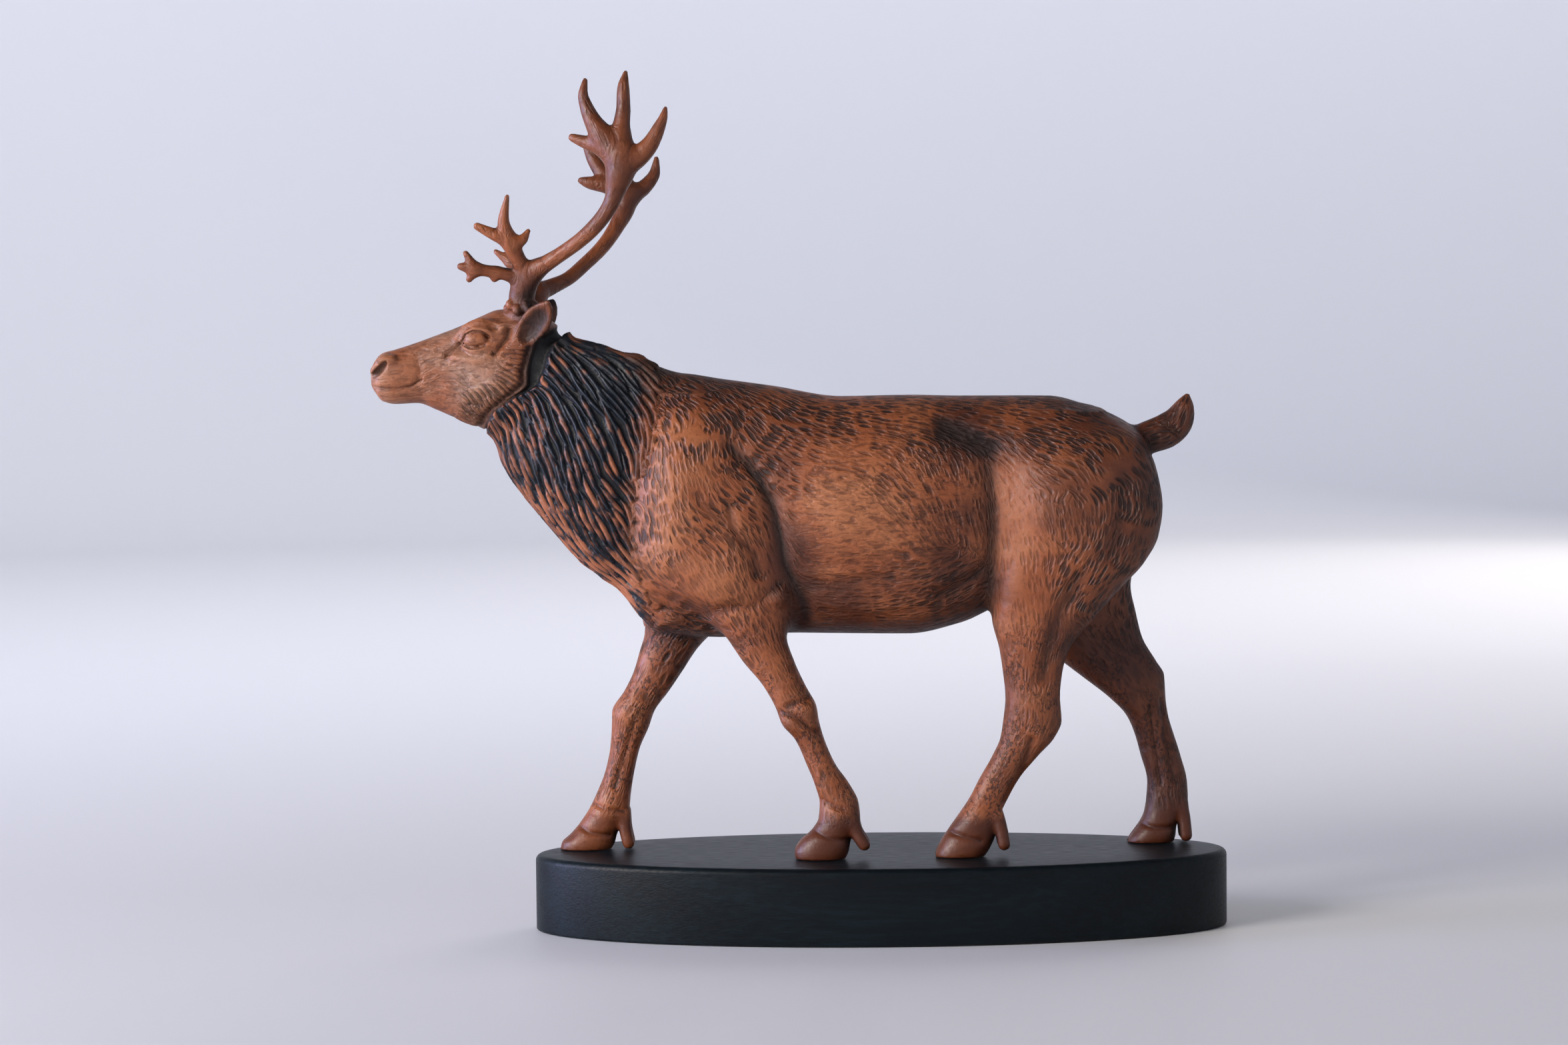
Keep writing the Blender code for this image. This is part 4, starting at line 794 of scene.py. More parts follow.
            for d_other, d_third in ((-1, -1), (0, -1), (0, 0), (-1, 0)):
                cell = flips.copy()
                cell[:, other] += d_other
                cell[:, third] += d_third
                around.append(number[tuple(cell.T)])
            quads = np.stack(around, axis=1)
            turned = ~inside[tuple(flips.T)]
            quads[turned] = quads[turned][:, ::-1]
            faces.append(quads)
        return points, np.concatenate(faces)


def along_neck(x: Array, z: Array) -> tuple[Array, Array]:
    """Splits a place in the side view into the distance along the neck and aside of it.

    Args:
        x: places along the body.
        z: heights.

    Returns:
        Distance down the neck, and distance from its line, the nape side positive.
    """
    dx, dz = x - NECK_START[0], z - NECK_START[1]
    station = dx * NECK_HEADING[0] + dz * NECK_HEADING[1]
    return station, -dx * NECK_HEADING[1] + dz * NECK_HEADING[0]


@dataclass
class Skin:
    """A closed surface: points, and faces of three or four corners."""

    points: Array
    faces: Array

    def edges(self) -> tuple[Array, Array]:
        """Returns both ends of every face side, going round each face."""
        corners = self.faces.shape[1]
        first = np.concatenate([self.faces[:, k] for k in range(corners)])
        second = np.concatenate([self.faces[:, (k + 1) % corners] for k in range(corners)])
        return first, second

    def normals(self) -> Array:
        """Works out each point's unit normal, the sum of its faces' area vectors made one long.

        Returns:
            One normal a point.
        """
        corners = [self.points[column] for column in self.faces.T]
        if len(corners) == 4:
            area = np.cross(corners[2] - corners[0], corners[3] - corners[1])
        else:
            area = np.cross(corners[1] - corners[0], corners[2] - corners[0])
        total = np.zeros_like(self.points)
        for column in self.faces.T:
            for axis in range(3):
                total[:, axis] += np.bincount(column, area[:, axis], len(total))
        return total / np.maximum(np.linalg.norm(total, axis=1), 1e-9)[:, None]

    def mean(self, values: Array, rounds: int) -> Array:
        """Spreads values over the surface: each point takes half its neighbours' mean a round.

        Args:
            values: rows of values, one a point.
            rounds: how often.

        Returns:
            The spread values.
        """
        first, second = self.edges()
        degree = np.maximum(np.bincount(first, minlength=len(values)), 1)[:, None]
        spread = np.array(values, float)
        for _ in range(rounds):
            columns = [np.bincount(first, spread[second, k], len(spread)) for k in range(spread.shape[1])]
            spread = 0.5 * spread + 0.5 * np.stack(columns, axis=1) / degree
        return spread

    def smooth(self, rounds: int, keep: Array) -> None:
        """Eases the points towards their neighbours and back, so that nothing shrinks.

        Args:
            rounds: number of passes.
            keep: share of the move that each point skips.
        """
        first, second = self.edges()
        degree = np.maximum(np.bincount(first, minlength=len(self.points)), 1)[:, None]
        for _ in range(rounds):
            for strength in (0.5, -0.52):
                columns = [np.bincount(first, self.points[second, k], len(self.points)) for k in range(3)]
                move = np.stack(columns, axis=1) / degree - self.points
                self.points = self.points + move * (strength * (1 - keep))[:, None]

    def split(self, chosen: Array) -> None:
        """Splits the triangles where both ends of a side are chosen, halving those sides.

        Four-sided faces are cut in two first. A triangle with all its sides
        halved becomes four, one with a single halved side becomes two.

        Args:
            chosen: which points are chosen.
        """
        if self.faces.shape[1] == 4:
            self.faces = np.concatenate([self.faces[:, [0, 1, 2]], self.faces[:, [0, 2, 3]]])
        first, second = self.faces, self.faces[:, [1, 2, 0]]
        halved = chosen[first] & chosen[second]
        low, high = np.minimum(first, second).astype(np.int64), np.maximum(first, second).astype(np.int64)
        keys = (low * len(self.points) + high)[halved]
        unique, number = np.unique(keys, return_inverse=True)
        middle = np.full(self.faces.shape, -1, np.int64)
        middle[halved] = len(self.points) + number.reshape(-1)
        ends = np.stack([unique // len(self.points), unique % len(self.points)])
        self.points = np.concatenate([self.points, self.points[ends].mean(0)])
        count = halved.sum(1)
        whole = self.faces[count == 0]
        f, m = self.faces[count == 3], middle[count == 3]
        four = [np.stack([f[:, 0], m[:, 0], m[:, 2]], 1), np.stack([f[:, 1], m[:, 1], m[:, 0]], 1),
                np.stack([f[:, 2], m[:, 2], m[:, 1]], 1), m]
        two = []
        for side in range(3):
            here = (count == 1) & halved[:, side]
            f, m = self.faces[here], middle[here, side]
            a, b, c = (f[:, (side + k) % 3] for k in range(3))
            two += [np.stack([a, m, c], 1), np.stack([m, b, c], 1)]
        self.faces = np.concatenate([whole, *four, *two]).astype(np.int64)

    def hollow(self, rounds: int) -> Array:
        """Measures how deep a place lies: the spread surface less the place, along its normal.

        Args:
            rounds: how widely the surface is spread.

        Returns:
            Depth in drawn millimetres, below 0 on a ridge.
        """
        return ((self.mean(self.points, rounds) - self.points) * self.normals()).sum(1)


@dataclass(frozen=True)
class Combing:
    """The lie and strength of the carver's strokes and the tone of the glaze, with painted shade and
    painted light.
    """

    lie: Rows = COMB
    strength: Rows = STROKES
    glaze_and_painted_shade: Rows = GLAZE_AND_LIGHTING_TONES

    def angle(self, points: Array) -> Array:
        """Blends the anchors' angles, each weighing 1 / (distance^2 + 4)^2.

        A stroke has no head or tail, so twice the angle is what is blended.

        Args:
            points: places in drawn millimetres.

        Returns:
            Angle in radians at each place.
        """
        table = np.array(self.lie)
        total = np.zeros((len(points), 2))
        for x, z, degrees in table:
            weight = 1 / ((points[:, 0] - x) ** 2 + (points[:, 2] - z) ** 2 + 4.0) ** 2
            twice = 2 * math.radians(degrees)
            total += weight[:, None] * (math.cos(twice), math.sin(twice))
        return np.arctan2(total[:, 1], total[:, 0]) / 2

    def shows(self, points: Array) -> Array:
        """Says how strongly the strokes show, blended from the anchors.

        Args:
            points: places in drawn millimetres.

        Returns:
            Strength at each place, 0 to 1.
        """
        return self.blend(points, self.strength, 9.0)

    def tone(self, points: Array) -> Array:
        """Says how dark the glaze was left, with painted shade and painted light, blended from the anchors.

        Args:
            points: places in drawn millimetres.

        Returns:
            Darkness at each place, 0 to 1.
        """
        return self.blend(points, self.glaze_and_painted_shade, 16.0)

    @staticmethod
    def blend(points: Array, anchors: Rows, soft: float) -> Array:
        """Blends values given at anchors, each weighing 1 / (distance^2 + soft)^2.

        Args:
            points: places in drawn millimetres.
            anchors: x, z and value of each anchor.
            soft: evens out the pull of the anchors close by.

        Returns:
            The value at each place.
        """
        total = np.zeros(len(points))
        weights = np.zeros(len(points))
        for x, z, value in anchors:
            weight = 1 / ((points[:, 0] - x) ** 2 + (points[:, 2] - z) ** 2 + soft) ** 2
            total += weight * value
            weights += weight
        return total / weights

    def direction(self, points: Array, normals: Array) -> Array:
        """Lays the lie on the surface: the side-view arrow less its part along the normal.

        Args:
            points: places in drawn millimetres.
            normals: their unit normals.

        Returns:
            Unit vectors along the strokes, pointing to the rear or downwards.
        """
        angle = self.angle(points)
        arrow = np.stack([np.cos(angle), np.zeros(len(angle)), np.sin(angle)], axis=1)
        arrow[arrow[:, 0] < arrow[:, 2]] *= -1
        arrow -= normals * (arrow * normals).sum(1)[:, None]
        return arrow / np.maximum(np.linalg.norm(arrow, axis=1), 1e-6)[:, None]


@dataclass
class Tufts:
    """Ridged tufts of hair that follow its lie, each a bent line on the skin.

    Sizes are drawn millimetres: the least gap across the lie (spacing) and along
    it (row), the length and the half width of a tuft. A line runs some steps each
    way from its seed and swings aside by the wave's share of a step.
    """

    spacing: float
    row: float
    length: float
    half_width: float
    seed: int
    candidates: int = 22000
    steps: int = 3
    apart: float = 0.72
    wave: float = 0.3
    planted_from: float = 0.35
    widths_along: Row = (0.35, 0.8, 1.0, 1.0, 0.95, 0.8, 0.4)
    lines: Array = field(default_factory=lambda: np.zeros((0, 7, 3)))
    widths: Array = field(default_factory=lambda: np.zeros(0))

    def share(self, points: Array) -> Array:
        """Says how far a place is on the hair, 0 to 1."""
        raise NotImplementedError

    def planted(self, points: Array) -> Array:
        """Says where tufts may stand."""
        return self.share(points) > self.planted_from

    def plant(self, skin: Skin, combing: Combing) -> None:
        """Plants the tufts: seeds kept apart along and across the lie, each traced over the skin.

        A seed is kept where no other lies within row along the lie and spacing
        across it. From it the tuft runs both ways in short steps along the lie,
        and every step lands on the nearest point of the skin.

        Args:
            skin: the figure without its hair.
            combing: the lie of the hair.
        """
        chosen = np.flatnonzero(self.planted(skin.points))
        chosen = np.random.default_rng(self.seed).permutation(chosen)[: self.candidates]
        places, normals = skin.points[chosen], skin.normals()[chosen]
        lie = combing.direction(places, normals)
        across = np.cross(normals, lie)
        seeds = np.zeros(0, int)
        for candidate in range(len(places)):
            gap = places[seeds] - places[candidate]
            far = (gap @ lie[candidate] / self.row) ** 2 + (gap @ across[candidate] / self.spacing) ** 2
            far += (gap @ normals[candidate] / self.spacing) ** 2
            if not (far < self.apart).any():
                seeds = np.append(seeds, candidate)
        stride = self.length / (2 * self.steps)
        chance = np.random.default_rng(self.seed + 1).uniform(0, 1, (len(seeds), 3))
        chain = {0: seeds}
        for heading in (-1, 1):
            here = seeds
            for step in range(1, self.steps + 1):
                bend = self.wave * np.sin(step * 1.9 + chance[:, 0] * 6.28)[:, None] * across[here]
                goal = places[here] + (lie[here] * heading + bend) * stride * (0.7 + 0.6 * chance[:, 1:2])
                here = np.array([np.argmin(((places - place) ** 2).sum(1)) for place in goal])
                chain[heading * step] = here
        lines = np.stack([places[chain[step]] for step in sorted(chain)], axis=1)
        lines[:, 1:-1] = (lines[:, :-2] + 2 * lines[:, 1:-1] + lines[:, 2:]) / 4
        self.lines = lines
        self.widths = self.half_width * (0.75 + 0.5 * chance[:, 2])

    def height(self, points: Array) -> Array:
        """Reads the height of the tufts: the highest ridge over each place.

        Across a tuft the ridge is 1 - (distance / width)^2, and its width grows
        from the root, is whole past the middle and closes at the tip.

        Args:
            points: places in drawn millimetres.

        Returns:
            0 in the grooves, 1 on top of a tuft.
        """
        best = np.zeros(len(points))
        covered = np.flatnonzero(self.share(points) > 0.01)
        places = points[covered]
        found = np.zeros(len(places))
        profile = self.widths_along
        for line, width in zip(self.lines, self.widths):
            reach = 2.2 * width
            close = np.flatnonzero(((places > line.min(0) - reach) & (places < line.max(0) + reach)).all(1))
            if not len(close):
                continue
            here = places[close]
            ridge = np.zeros(len(here))
            for step in range(len(line) - 1):
                run = line[step + 1] - line[step]
                along = np.clip((here - line[step]) @ run / max(run @ run, 1e-6), 0, 1)
                wide = width * (profile[step] + along * (profile[step + 1] - profile[step]))
                off = np.linalg.norm(here - line[step] - along[:, None] * run, axis=1)
                tall = 0.55 + 0.45 * profile[step]
                ridge = np.maximum(ridge, tall * np.clip(1 - (off / np.maximum(wide, 0.2)) ** 2, 0, 1))
            found[close] = np.maximum(found[close], ridge)
        best[covered] = found
        return best


@dataclass
class Mane(Tufts):
    """The mane, which stands a little over the shoulder."""

    spacing: float = 2.5
    row: float = 8.8
    length: float = 13.5
    half_width: float = 1.06
    seed: int = 5
    wave: float = 0.22
    rear: Rows = MANE_REAR
    jaw: Rows = MANE_JAW
    lift: float = 0.75
    groove: float = 1.3
    hollow: float = 2.0

    def share(self, points: Array) -> Array:
        """Says how far a place is under the locks, which run out over the shoulder.

        Args:
            points: places in drawn millimetres.

        Returns:
            1 on the mane, 0 off it.
        """
        before, behind, height = self.borders(points)
        overrun = 2.0 + 4.5 * ease(148.0, 172.0, points[:, 2])
        return ease(-1.0, 1.2, before + overrun) * ease(-0.5, 1.5, behind) * height

    def borders(self, points: Array) -> tuple[Array, Array, Array]:
        """Measures places against the borders of the mane.

        Args:
            points: places in drawn millimetres.

        Returns:
            Distance before the ragged rear border, distance behind the jaw,
            and 1 between the chest and the nape.
        """
        x, y, z = points.T
        rear = curve([r[0] for r in self.rear], [[r[1]] for r in self.rear], z)[:, 0]
        jaw = curve([r[0] for r in self.jaw], [[r[1]] for r in self.jaw], z)[:, 0]
        ragged = 1.6 * np.sin(z * 1.15) * np.sin(z * 0.43 + 1.0)
        return rear + ragged - x, x - jaw, ease(101.0, 105.0, z) * (1 - ease(204.0, 208.0, z))

    def black(self, points: Array) -> Array:
        """Says how far a place is stained black, 0 to 1; the stain fades where the locks run out."""
        before, behind, height = self.borders(points)
        return ease(-3.6, 1.4, before) * ease(-0.5, 1.5, behind) * height

    def bare(self, points: Array) -> Array:
        """Says how far a place is in the bare hollow behind the jaw and the ear, 0 to 1; it is sunk in, and
        its colour darkened as painted shade.
        """
        width = 1.0 + 5.5 * ease(178.0, 194.0, points[:, 2])
        return self.share(points) * (1 - ease(-1.2, 0.6, self.borders(points)[1] - width))

    def rim(self, points: Array) -> Array:
        """Says how far a place is on the rim of the cheek, under the mane's black, 0 to 1; the rim is
        darkened as painted shade.
        """
        _, behind, height = self.borders(points)
        return 0.8 * ease(-2.6, 0.2, behind) * (1 - ease(0.5, 1.5, behind)) * height

    def planted(self, points: Array) -> Array:
        """Says where locks may stand: on the mane, but not in the bare hollow behind the jaw."""
        return (self.share(points) > self.planted_from) & (self.bare(points) < 0.3)


@dataclass
class CheekFur(Tufts):
    """Fur along the rear of the cheek, fanning out from under the eye."""

    spacing: float = 1.8
    row: float = 5.2
    length: float = 6.0
    half_width: float = 0.78
    seed: int = 9
    wave: float = 0.15
    middle: tuple[float, float] = (-138.0, 197.0)
    depth: float = 0.75

    def share(self, points: Array) -> Array:
        """Says how far a place is on the fur, a band of a ring round its middle.

        Args:
            points: places in drawn millimetres.

        Returns:
            1 on the fur, 0 off it.
        """
        x, y, z = points.T
        dx, dz = x - self.middle[0], z - self.middle[1]
        far = np.hypot(dx, dz)
        turn = np.degrees(np.arctan2(dz, dx))
        jaw = curve([r[0] for r in MANE_JAW], [[r[1]] for r in MANE_JAW], z)[:, 0]
        ring = ease(9.0, 15.0, far) * (1 - ease(23.5, 25.5, far))
        fan = ease(-112.0, -88.0, turn) * (1 - ease(4.0, 12.0, turn))
        return ring * fan * ease(0.6, 2.0, jaw - x)


@dataclass
class Figure:
    """The deer: one carved piece of wood.

    The pitch of the lattice is in drawn millimetres. The first smoothing takes
    out the lattice's steps, the second eases the head and the mane once their
    faces are split.
    """

    pitch: float = 0.55
    quick_pitch: float = 0.9
    smoothing: int = 5
    smoothing_split: int = 2
    most_triangles: int = 188000
    node: str = "deer"
    body: str = "root"
    combing: Combing = field(default_factory=Combing)
    mane: Mane = field(default_factory=Mane)
    cheek: CheekFur = field(default_factory=CheekFur)

    def masses(self) -> Lattice:
        """Blends every mass of the figure on the lattice.

        Returns:
            The filled lattice.
        """
        lattice = Lattice((-176.0, -38.0, 22.0), (112.0, 46.0, 297.0), self.pitch)
        lattice.stack(TRUNK, Stacking.LONG, 2.25, 4.0)
        lattice.stack(NECK, Stacking.NECK, 2.1, 9.0)
        lattice.stack(HEAD, Stacking.LONG, 2.3, 5.0)
        for rows in (NEAR_FORE, FAR_FORE, NEAR_HIND, FAR_HIND):
            lattice.stack(rows, Stacking.UPRIGHT, 2.2, 4.0)
        lattice.cord(TAIL, 2.0)
        self.ears(lattice)
        self.antlers(lattice)
        self.spurs(lattice)
        self.eyes(lattice)
        self.clefts(lattice)
        return lattice

    @staticmethod
    def both_sides(points: Rows) -> list[Array]:
        """Returns a cord drawn outwards from the middle plane on the near and on the far side."""
        drawn = np.array(points, float)
        sides = []
        for side in (-1, 1):
            moved = drawn.copy()
            moved[:, 1] = MIDDLE_Y + side * drawn[:, 1]
            sides.append(moved)
        return sides

    def ears(self, lattice: Lattice) -> None:
        """Adds both ears and hollows them out."""
        for points in self.both_sides(EAR):
            lattice.cord(points, 1.2)
        for points in self.both_sides(EAR_HOLLOW):
            lattice.cord(points, 0.8, remove=True)

    def antlers(self, lattice: Lattice) -> None:
        """Adds the branches of both antlers and the rough ring of knobs under each."""
        for antler in (NEAR_ANTLER, FAR_ANTLER):
            for branch in antler:
                lattice.cord(branch, 1.6)
        for x, y, z, ring in BURRS:
            for turn in range(BURR_KNOBS):
                angle = 2 * math.pi * turn / BURR_KNOBS
                spot = x + ring * math.cos(angle), y + ring * math.sin(angle)
                level = z + 0.9 * math.sin(2.4 * turn)
                lattice.cord(((*spot, level, BURR_KNOB), (*spot, level + 0.6, BURR_KNOB)), 1.0)

    def spurs(self, lattice: Lattice) -> None:
        """Adds the two spurs behind each hoof."""
        for spur, middle in zip(SPURS, SPUR_MIDDLES):
            for side in (-1, 1):
                lattice.cord([(x, middle - side * y, z, a, b) for x, y, z, a, b in spur], 1.2)

    def eyes(self, lattice: Lattice) -> None:
        """Adds the brows, eyeballs, lids and cheekbones, and takes the temples and nostrils out."""
        added = (
            (((-141.2, 8.0, 203.0, 1.0), (-138.0, 8.3, 206.0, 1.5), (-133.4, 8.7, 207.4, 1.8),
              (-129.4, 9.4, 206.2, 1.4)), 3.0),
            (((-142.6, 9.0, 196.2, 1.0), (-135.0, 9.8, 195.0, 1.6), (-127.5, 10.4, 197.0, 1.2)), 2.6),
            (((-137.4, 9.3, 201.6, 1.8), (-135.6, 9.5, 201.9, 2.3), (-133.4, 9.5, 202.2, 2.2)), 0.3),
            (((-140.2, 9.0, 201.4, 0.6), (-138.2, 10.4, 204.1, 0.9), (-135.0, 11.1, 205.5, 1.1),
              (-131.8, 11.1, 205.1, 1.1), (-129.6, 10.3, 203.2, 0.85), (-128.7, 9.7, 201.2, 0.6)), 0.8),
            (((-139.8, 9.2, 200.0, 0.6), (-137.5, 10.4, 198.6, 0.95), (-134.8, 10.9, 198.3, 1.2),
              (-131.8, 10.7, 199.2, 1.05), (-129.7, 9.9, 201.0, 0.6)), 0.8),
            (((-169.4, 4.6, 191.4, 2.0), (-166.6, 5.4, 195.0, 2.0), (-163.8, 5.6, 195.6, 1.4)), 1.2),
            (((-129.2, 9.4, 203.6, 1.2), (-125.6, 9.8, 206.0, 1.4), (-122.4, 9.4, 206.4, 1.2)), 1.4),
        )
        taken = (
            (((-131.2, 10.4, 208.4, 1.1, 0.9), (-128.4, 10.8, 206.0, 1.0, 0.9)), 1.0),
            (((-170.4, 5.0, 189.9, 0.9, 1.8), (-168.4, 6.4, 191.6, 1.3, 2.2),
              (-165.8, 7.2, 194.4, 0.9, 1.8)), 0.35),
        )
        for points, blend in added:
            for row in self.both_sides(points):
                lattice.cord(row, blend)
        for points, blend in taken:
            for row in self.both_sides(points):
                lattice.cord(row, blend, remove=True)

    def clefts(self, lattice: Lattice) -> None:
        """Splits the front of each hoof into its two toes."""
        for rows, middle in zip((NEAR_FORE, FAR_FORE, NEAR_HIND, FAR_HIND), SPUR_MIDDLES):
            toe = rows[-2][1]
            lattice.cord(((toe - 1.5, middle, 25.0, 1.0, 0.7), (toe + 1.5, middle, 28.6, 1.2, 0.6),
                          (toe + 6.0, middle, 32.4, 1.2, 0.5)), 0.8, remove=True)

    def swells(self, skin: Skin) -> Array:
        """Works out the muscles' rise, height * exp(-(dx / reach x)^2 - (dz / reach z)^2).

        Args:
            skin: the figure.

        Returns:
            Rise at each point, drawn millimetres.
        """
        facing = skin.normals()[:, 1]
        x, y, z = skin.points.T
        rise = np.zeros(len(x))
        for at_x, at_z, reach_x, reach_z, height, side in SWELLS:
            shown = np.abs(facing) if side == 0 else np.abs(facing) * (side * (y - MIDDLE_Y) > -1.0)
            swell = np.exp(-(((x - at_x) / reach_x) ** 2) - ((z - at_z) / reach_z) ** 2)
            rise += height * swell * np.minimum(shown * 1.4, 1)
        return rise

    def cuts(self, skin: Skin) -> Array:
        """Works out the depth of the carver's long cuts, depth * exp(-1.6 (distance / width)^2).

        Args:
            skin: the figure without its cuts.

        Returns:
            Depth at each point, drawn millimetres.
        """
        facing = skin.normals()[:, 1]
        x, y, z = skin.points.T
        depth = np.zeros(len(x))
        for line, width, deep, side in CUTS:
            near = (x > min(p[0] for p in line) - 4 * width) & (x < max(p[0] for p in line) + 4 * width)
            near &= (z > min(p[1] for p in line) - 4 * width) & (z < max(p[1] for p in line) + 4 * width)
            shown = np.abs(facing[near])
            if side:
                shown = shown * (side * (y[near] - MIDDLE_Y) > -1.0)
            away = line_distance(x[near], z[near], line)
            cut = deep * np.exp(-((away / width) ** 2) * 1.6) * np.minimum(shown * 1.5, 1)
            depth[near] = np.maximum(depth[near], cut)
        return depth

    def carve(self, skin: Skin) -> None:
        """Cuts the carver's lines and raises the hair, along the normals.

        Args:
            skin: the figure, changed in place.
        """
        normals = skin.normals()
        share = self.mane.share(skin.points)
        locks = self.mane.height(skin.points)
        lift = share * (self.mane.lift - self.mane.groove * (1 - locks))
        lift -= self.mane.hollow * self.mane.bare(skin.points)
        lift += self.cheek.depth * self.cheek.share(skin.points) * (self.cheek.height(skin.points) - 0.45)
        skin.points = skin.points + normals * (lift - self.cuts(skin) * (1 - share))[:, None]

    def sit(self, points: Array) -> Array:
        """Turns drawn millimetres into metres, with the soles just over the plinth.

        Args:
            points: places in the drawing.

        Returns:
            Places in the part's frame.
        """
        sole = DRAWN_GROUND + FOOT_GAP / MM
        seated = points * (FIGURE_HEIGHT / DRAWN_HEIGHT)
        seated[:, 2] = (np.maximum(points[:, 2], sole) - sole) * (FIGURE_HEIGHT / DRAWN_HEIGHT)
        seated[:, 2] += PLINTH_THICKNESS + FOOT_GAP
        return seated

    def draw(self, places: Array) -> Array:
        """Turns places in the part's frame back into drawn millimetres.

        Args:
            places: points in metres.

        Returns:
            The same points in the drawing.
        """
        sole = DRAWN_GROUND + FOOT_GAP / MM
        drawn = np.array(places, float)
        drawn[:, 2] -= PLINTH_THICKNESS + FOOT_GAP
        drawn *= DRAWN_HEIGHT / FIGURE_HEIGHT
        drawn[:, 2] += sole
        return drawn

    @staticmethod
    def firmness(points: Array) -> Array:
        """Says how much of the first smoothing a place skips, so that fine forms keep their shape.

        Args:
            points: places in drawn millimetres.

        Returns:
            1 at the soles, less on the antlers, the head and the eyes, 0 elsewhere.
        """
        x, _, z = points.T
        soles = np.clip((29.0 - z) / 2.0, 0, 1)
        antlers = ease(206.0, 212.0, z) * 0.6
        by_eye = np.hypot((x - EYE[0]) / EYE_REACH[0], (z - EYE[1]) / EYE_REACH[1]) < 1.2
        head = ease(-124.0, -128.0, x) * np.where(by_eye, 0.85, 0.5)
        return np.clip(antlers + soles + head, 0, 1)

    def build(self) -> bpy.types.Object:
        """Builds the whole figure and dresses it.

        Returns:
            The figure's object.
        """
        lattice = self.masses()
        skin = Skin(*lattice.skin())
        skin.smooth(self.smoothing, self.firmness(skin.points))
        skin.points = skin.points + skin.normals() * self.swells(skin)[:, None]
        log.info("figure: %d lattice faces", len(skin.faces))
        x, _, z = skin.points.T
        skin.split((x < -108.0) & (z > 164.0) | (self.mane.share(skin.points) > 0.02))
        skin.smooth(self.smoothing_split, np.zeros(len(skin.points)))
        for hair in (self.mane, self.cheek):
            hair.plant(skin, self.combing)
            log.info("%s: %d tufts", type(hair).__name__, len(hair.lines))
        self.carve(skin)
        rough = new_object("rough_figure", self.sit(skin.points), skin.faces)
        thinner = rough.modifiers.new("fewer_faces", "DECIMATE")
        thinner.ratio = min(1.0, self.most_triangles / len(skin.faces))
        thinner.use_collapse_triangulate = True
        figure = settled(rough, "carved_deer")
        keep_inside(figure.data, cad_box)
        log.info("figure: %d triangles", len(figure.data.polygons))
        self.mark(figure, lattice)
        figure.data.materials.append(StainedCarvedWood().material())
        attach(figure, self.body)
        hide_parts(self.node)
        return figure

    def mark(self, figure: bpy.types.Object, lattice: Lattice) -> None:
        """Writes the attributes that the finish reads.

        Args:
            figure: the finished figure.
            lattice: the blended masses.
        """
        mesh = figure.data
        places = np.empty(len(mesh.vertices) * 3)
        mesh.vertices.foreach_get("co", places)
        corners = np.empty(len(mesh.polygons) * 3, np.int32)
        mesh.loops.foreach_get("vertex_index", corners)
        skin = Skin(self.draw(places.reshape(-1, 3)), corners.reshape(-1, 3))
        normals = skin.normals()
        x, _, z = skin.points.T
        lie = self.combing.direction(skin.points, normals)
        mane, cover = self.mane.black(skin.points), self.mane.share(skin.points)
        locks, fur = self.mane.height(skin.points), self.cheek.share(skin.points)
        run_out = cover * (1 - mane)
        # Painted shade: the bare hollow behind the jaw and the rim of the cheek are darkened as if in
        # shadow.
        shadow = np.maximum(self.mane.bare(skin.points), self.mane.rim(skin.points))
        closed = self.closed_in(skin, lattice)
        cut = skin.mean(self.cuts(skin)[:, None], 1)[:, 0]
        ridge = skin.mean(skin.hollow(2)[:, None], 1)[:, 0]
        head = ease(-116.0, -124.0, x) * (1 - mane) * (1 - ease(208.0, 214.0, z))
        barrel = ease(-36.0, -24.0, x) * (1 - ease(28.0, 38.0, x)) * ease(94.0, 102.0, z)
        values = {
            "mane": mane,
            "lock": locks,
            "tuft": np.maximum(self.cheek.height(skin.points) * fur, locks * run_out),
            "fur": np.maximum(fur, run_out),
            "closed_near": np.maximum(closed[:, 0], shadow),
            "closed_far": closed[:, 1],
            "cut": np.clip(cut / 2.0, 0, 1),
            "ridge": np.clip(0.5 + ridge * 3.0, 0, 1),
            "head": head,
            "barrel": barrel,
            "legs": (1 - ease(96.0, 112.0, z)) * ease(36.0, 42.0, z),
            "hooves": 1 - ease(36.0, 42.0, z),
            # Darkness of the glaze together with painted shade and painted light.
            "tone": self.combing.tone(skin.points),
            "strokes": self.combing.shows(skin.points) * (1 - cover) * ease(36.0, 42.0, z),
        }
        for name, value in values.items():
            write_values(mesh, name, value)
        write_vectors(mesh, "lie", lie)
        write_vectors(mesh, "aside", np.cross(normals, lie))

    @staticmethod
    def closed_in(skin: Skin, lattice: Lattice) -> Array:
        """Measures how far places are closed in by the wood around them.

        A place is closed in where the distance read some millimetres out along
        its spread normal rises by less than those millimetres.

        Args:
            skin: the finished figure.
            lattice: the blended masses.

        Returns:
            One row a point, closely and widely closed in, 0 to 1 each.
        """
        outward = skin.mean(skin.normals(), 12)
        outward /= np.maximum(np.linalg.norm(outward, axis=1), 1e-6)[:, None]
        start = 0.8
        level = lattice.read(skin.points + start * outward)
        shares = []
        for out in (3.0, 7.5):
            rise = lattice.read(skin.points + out * outward) - level
            shares.append(1 - np.clip(rise / (out - start), 0, 1))
        return skin.mean(np.stack(shares, axis=1), 3)


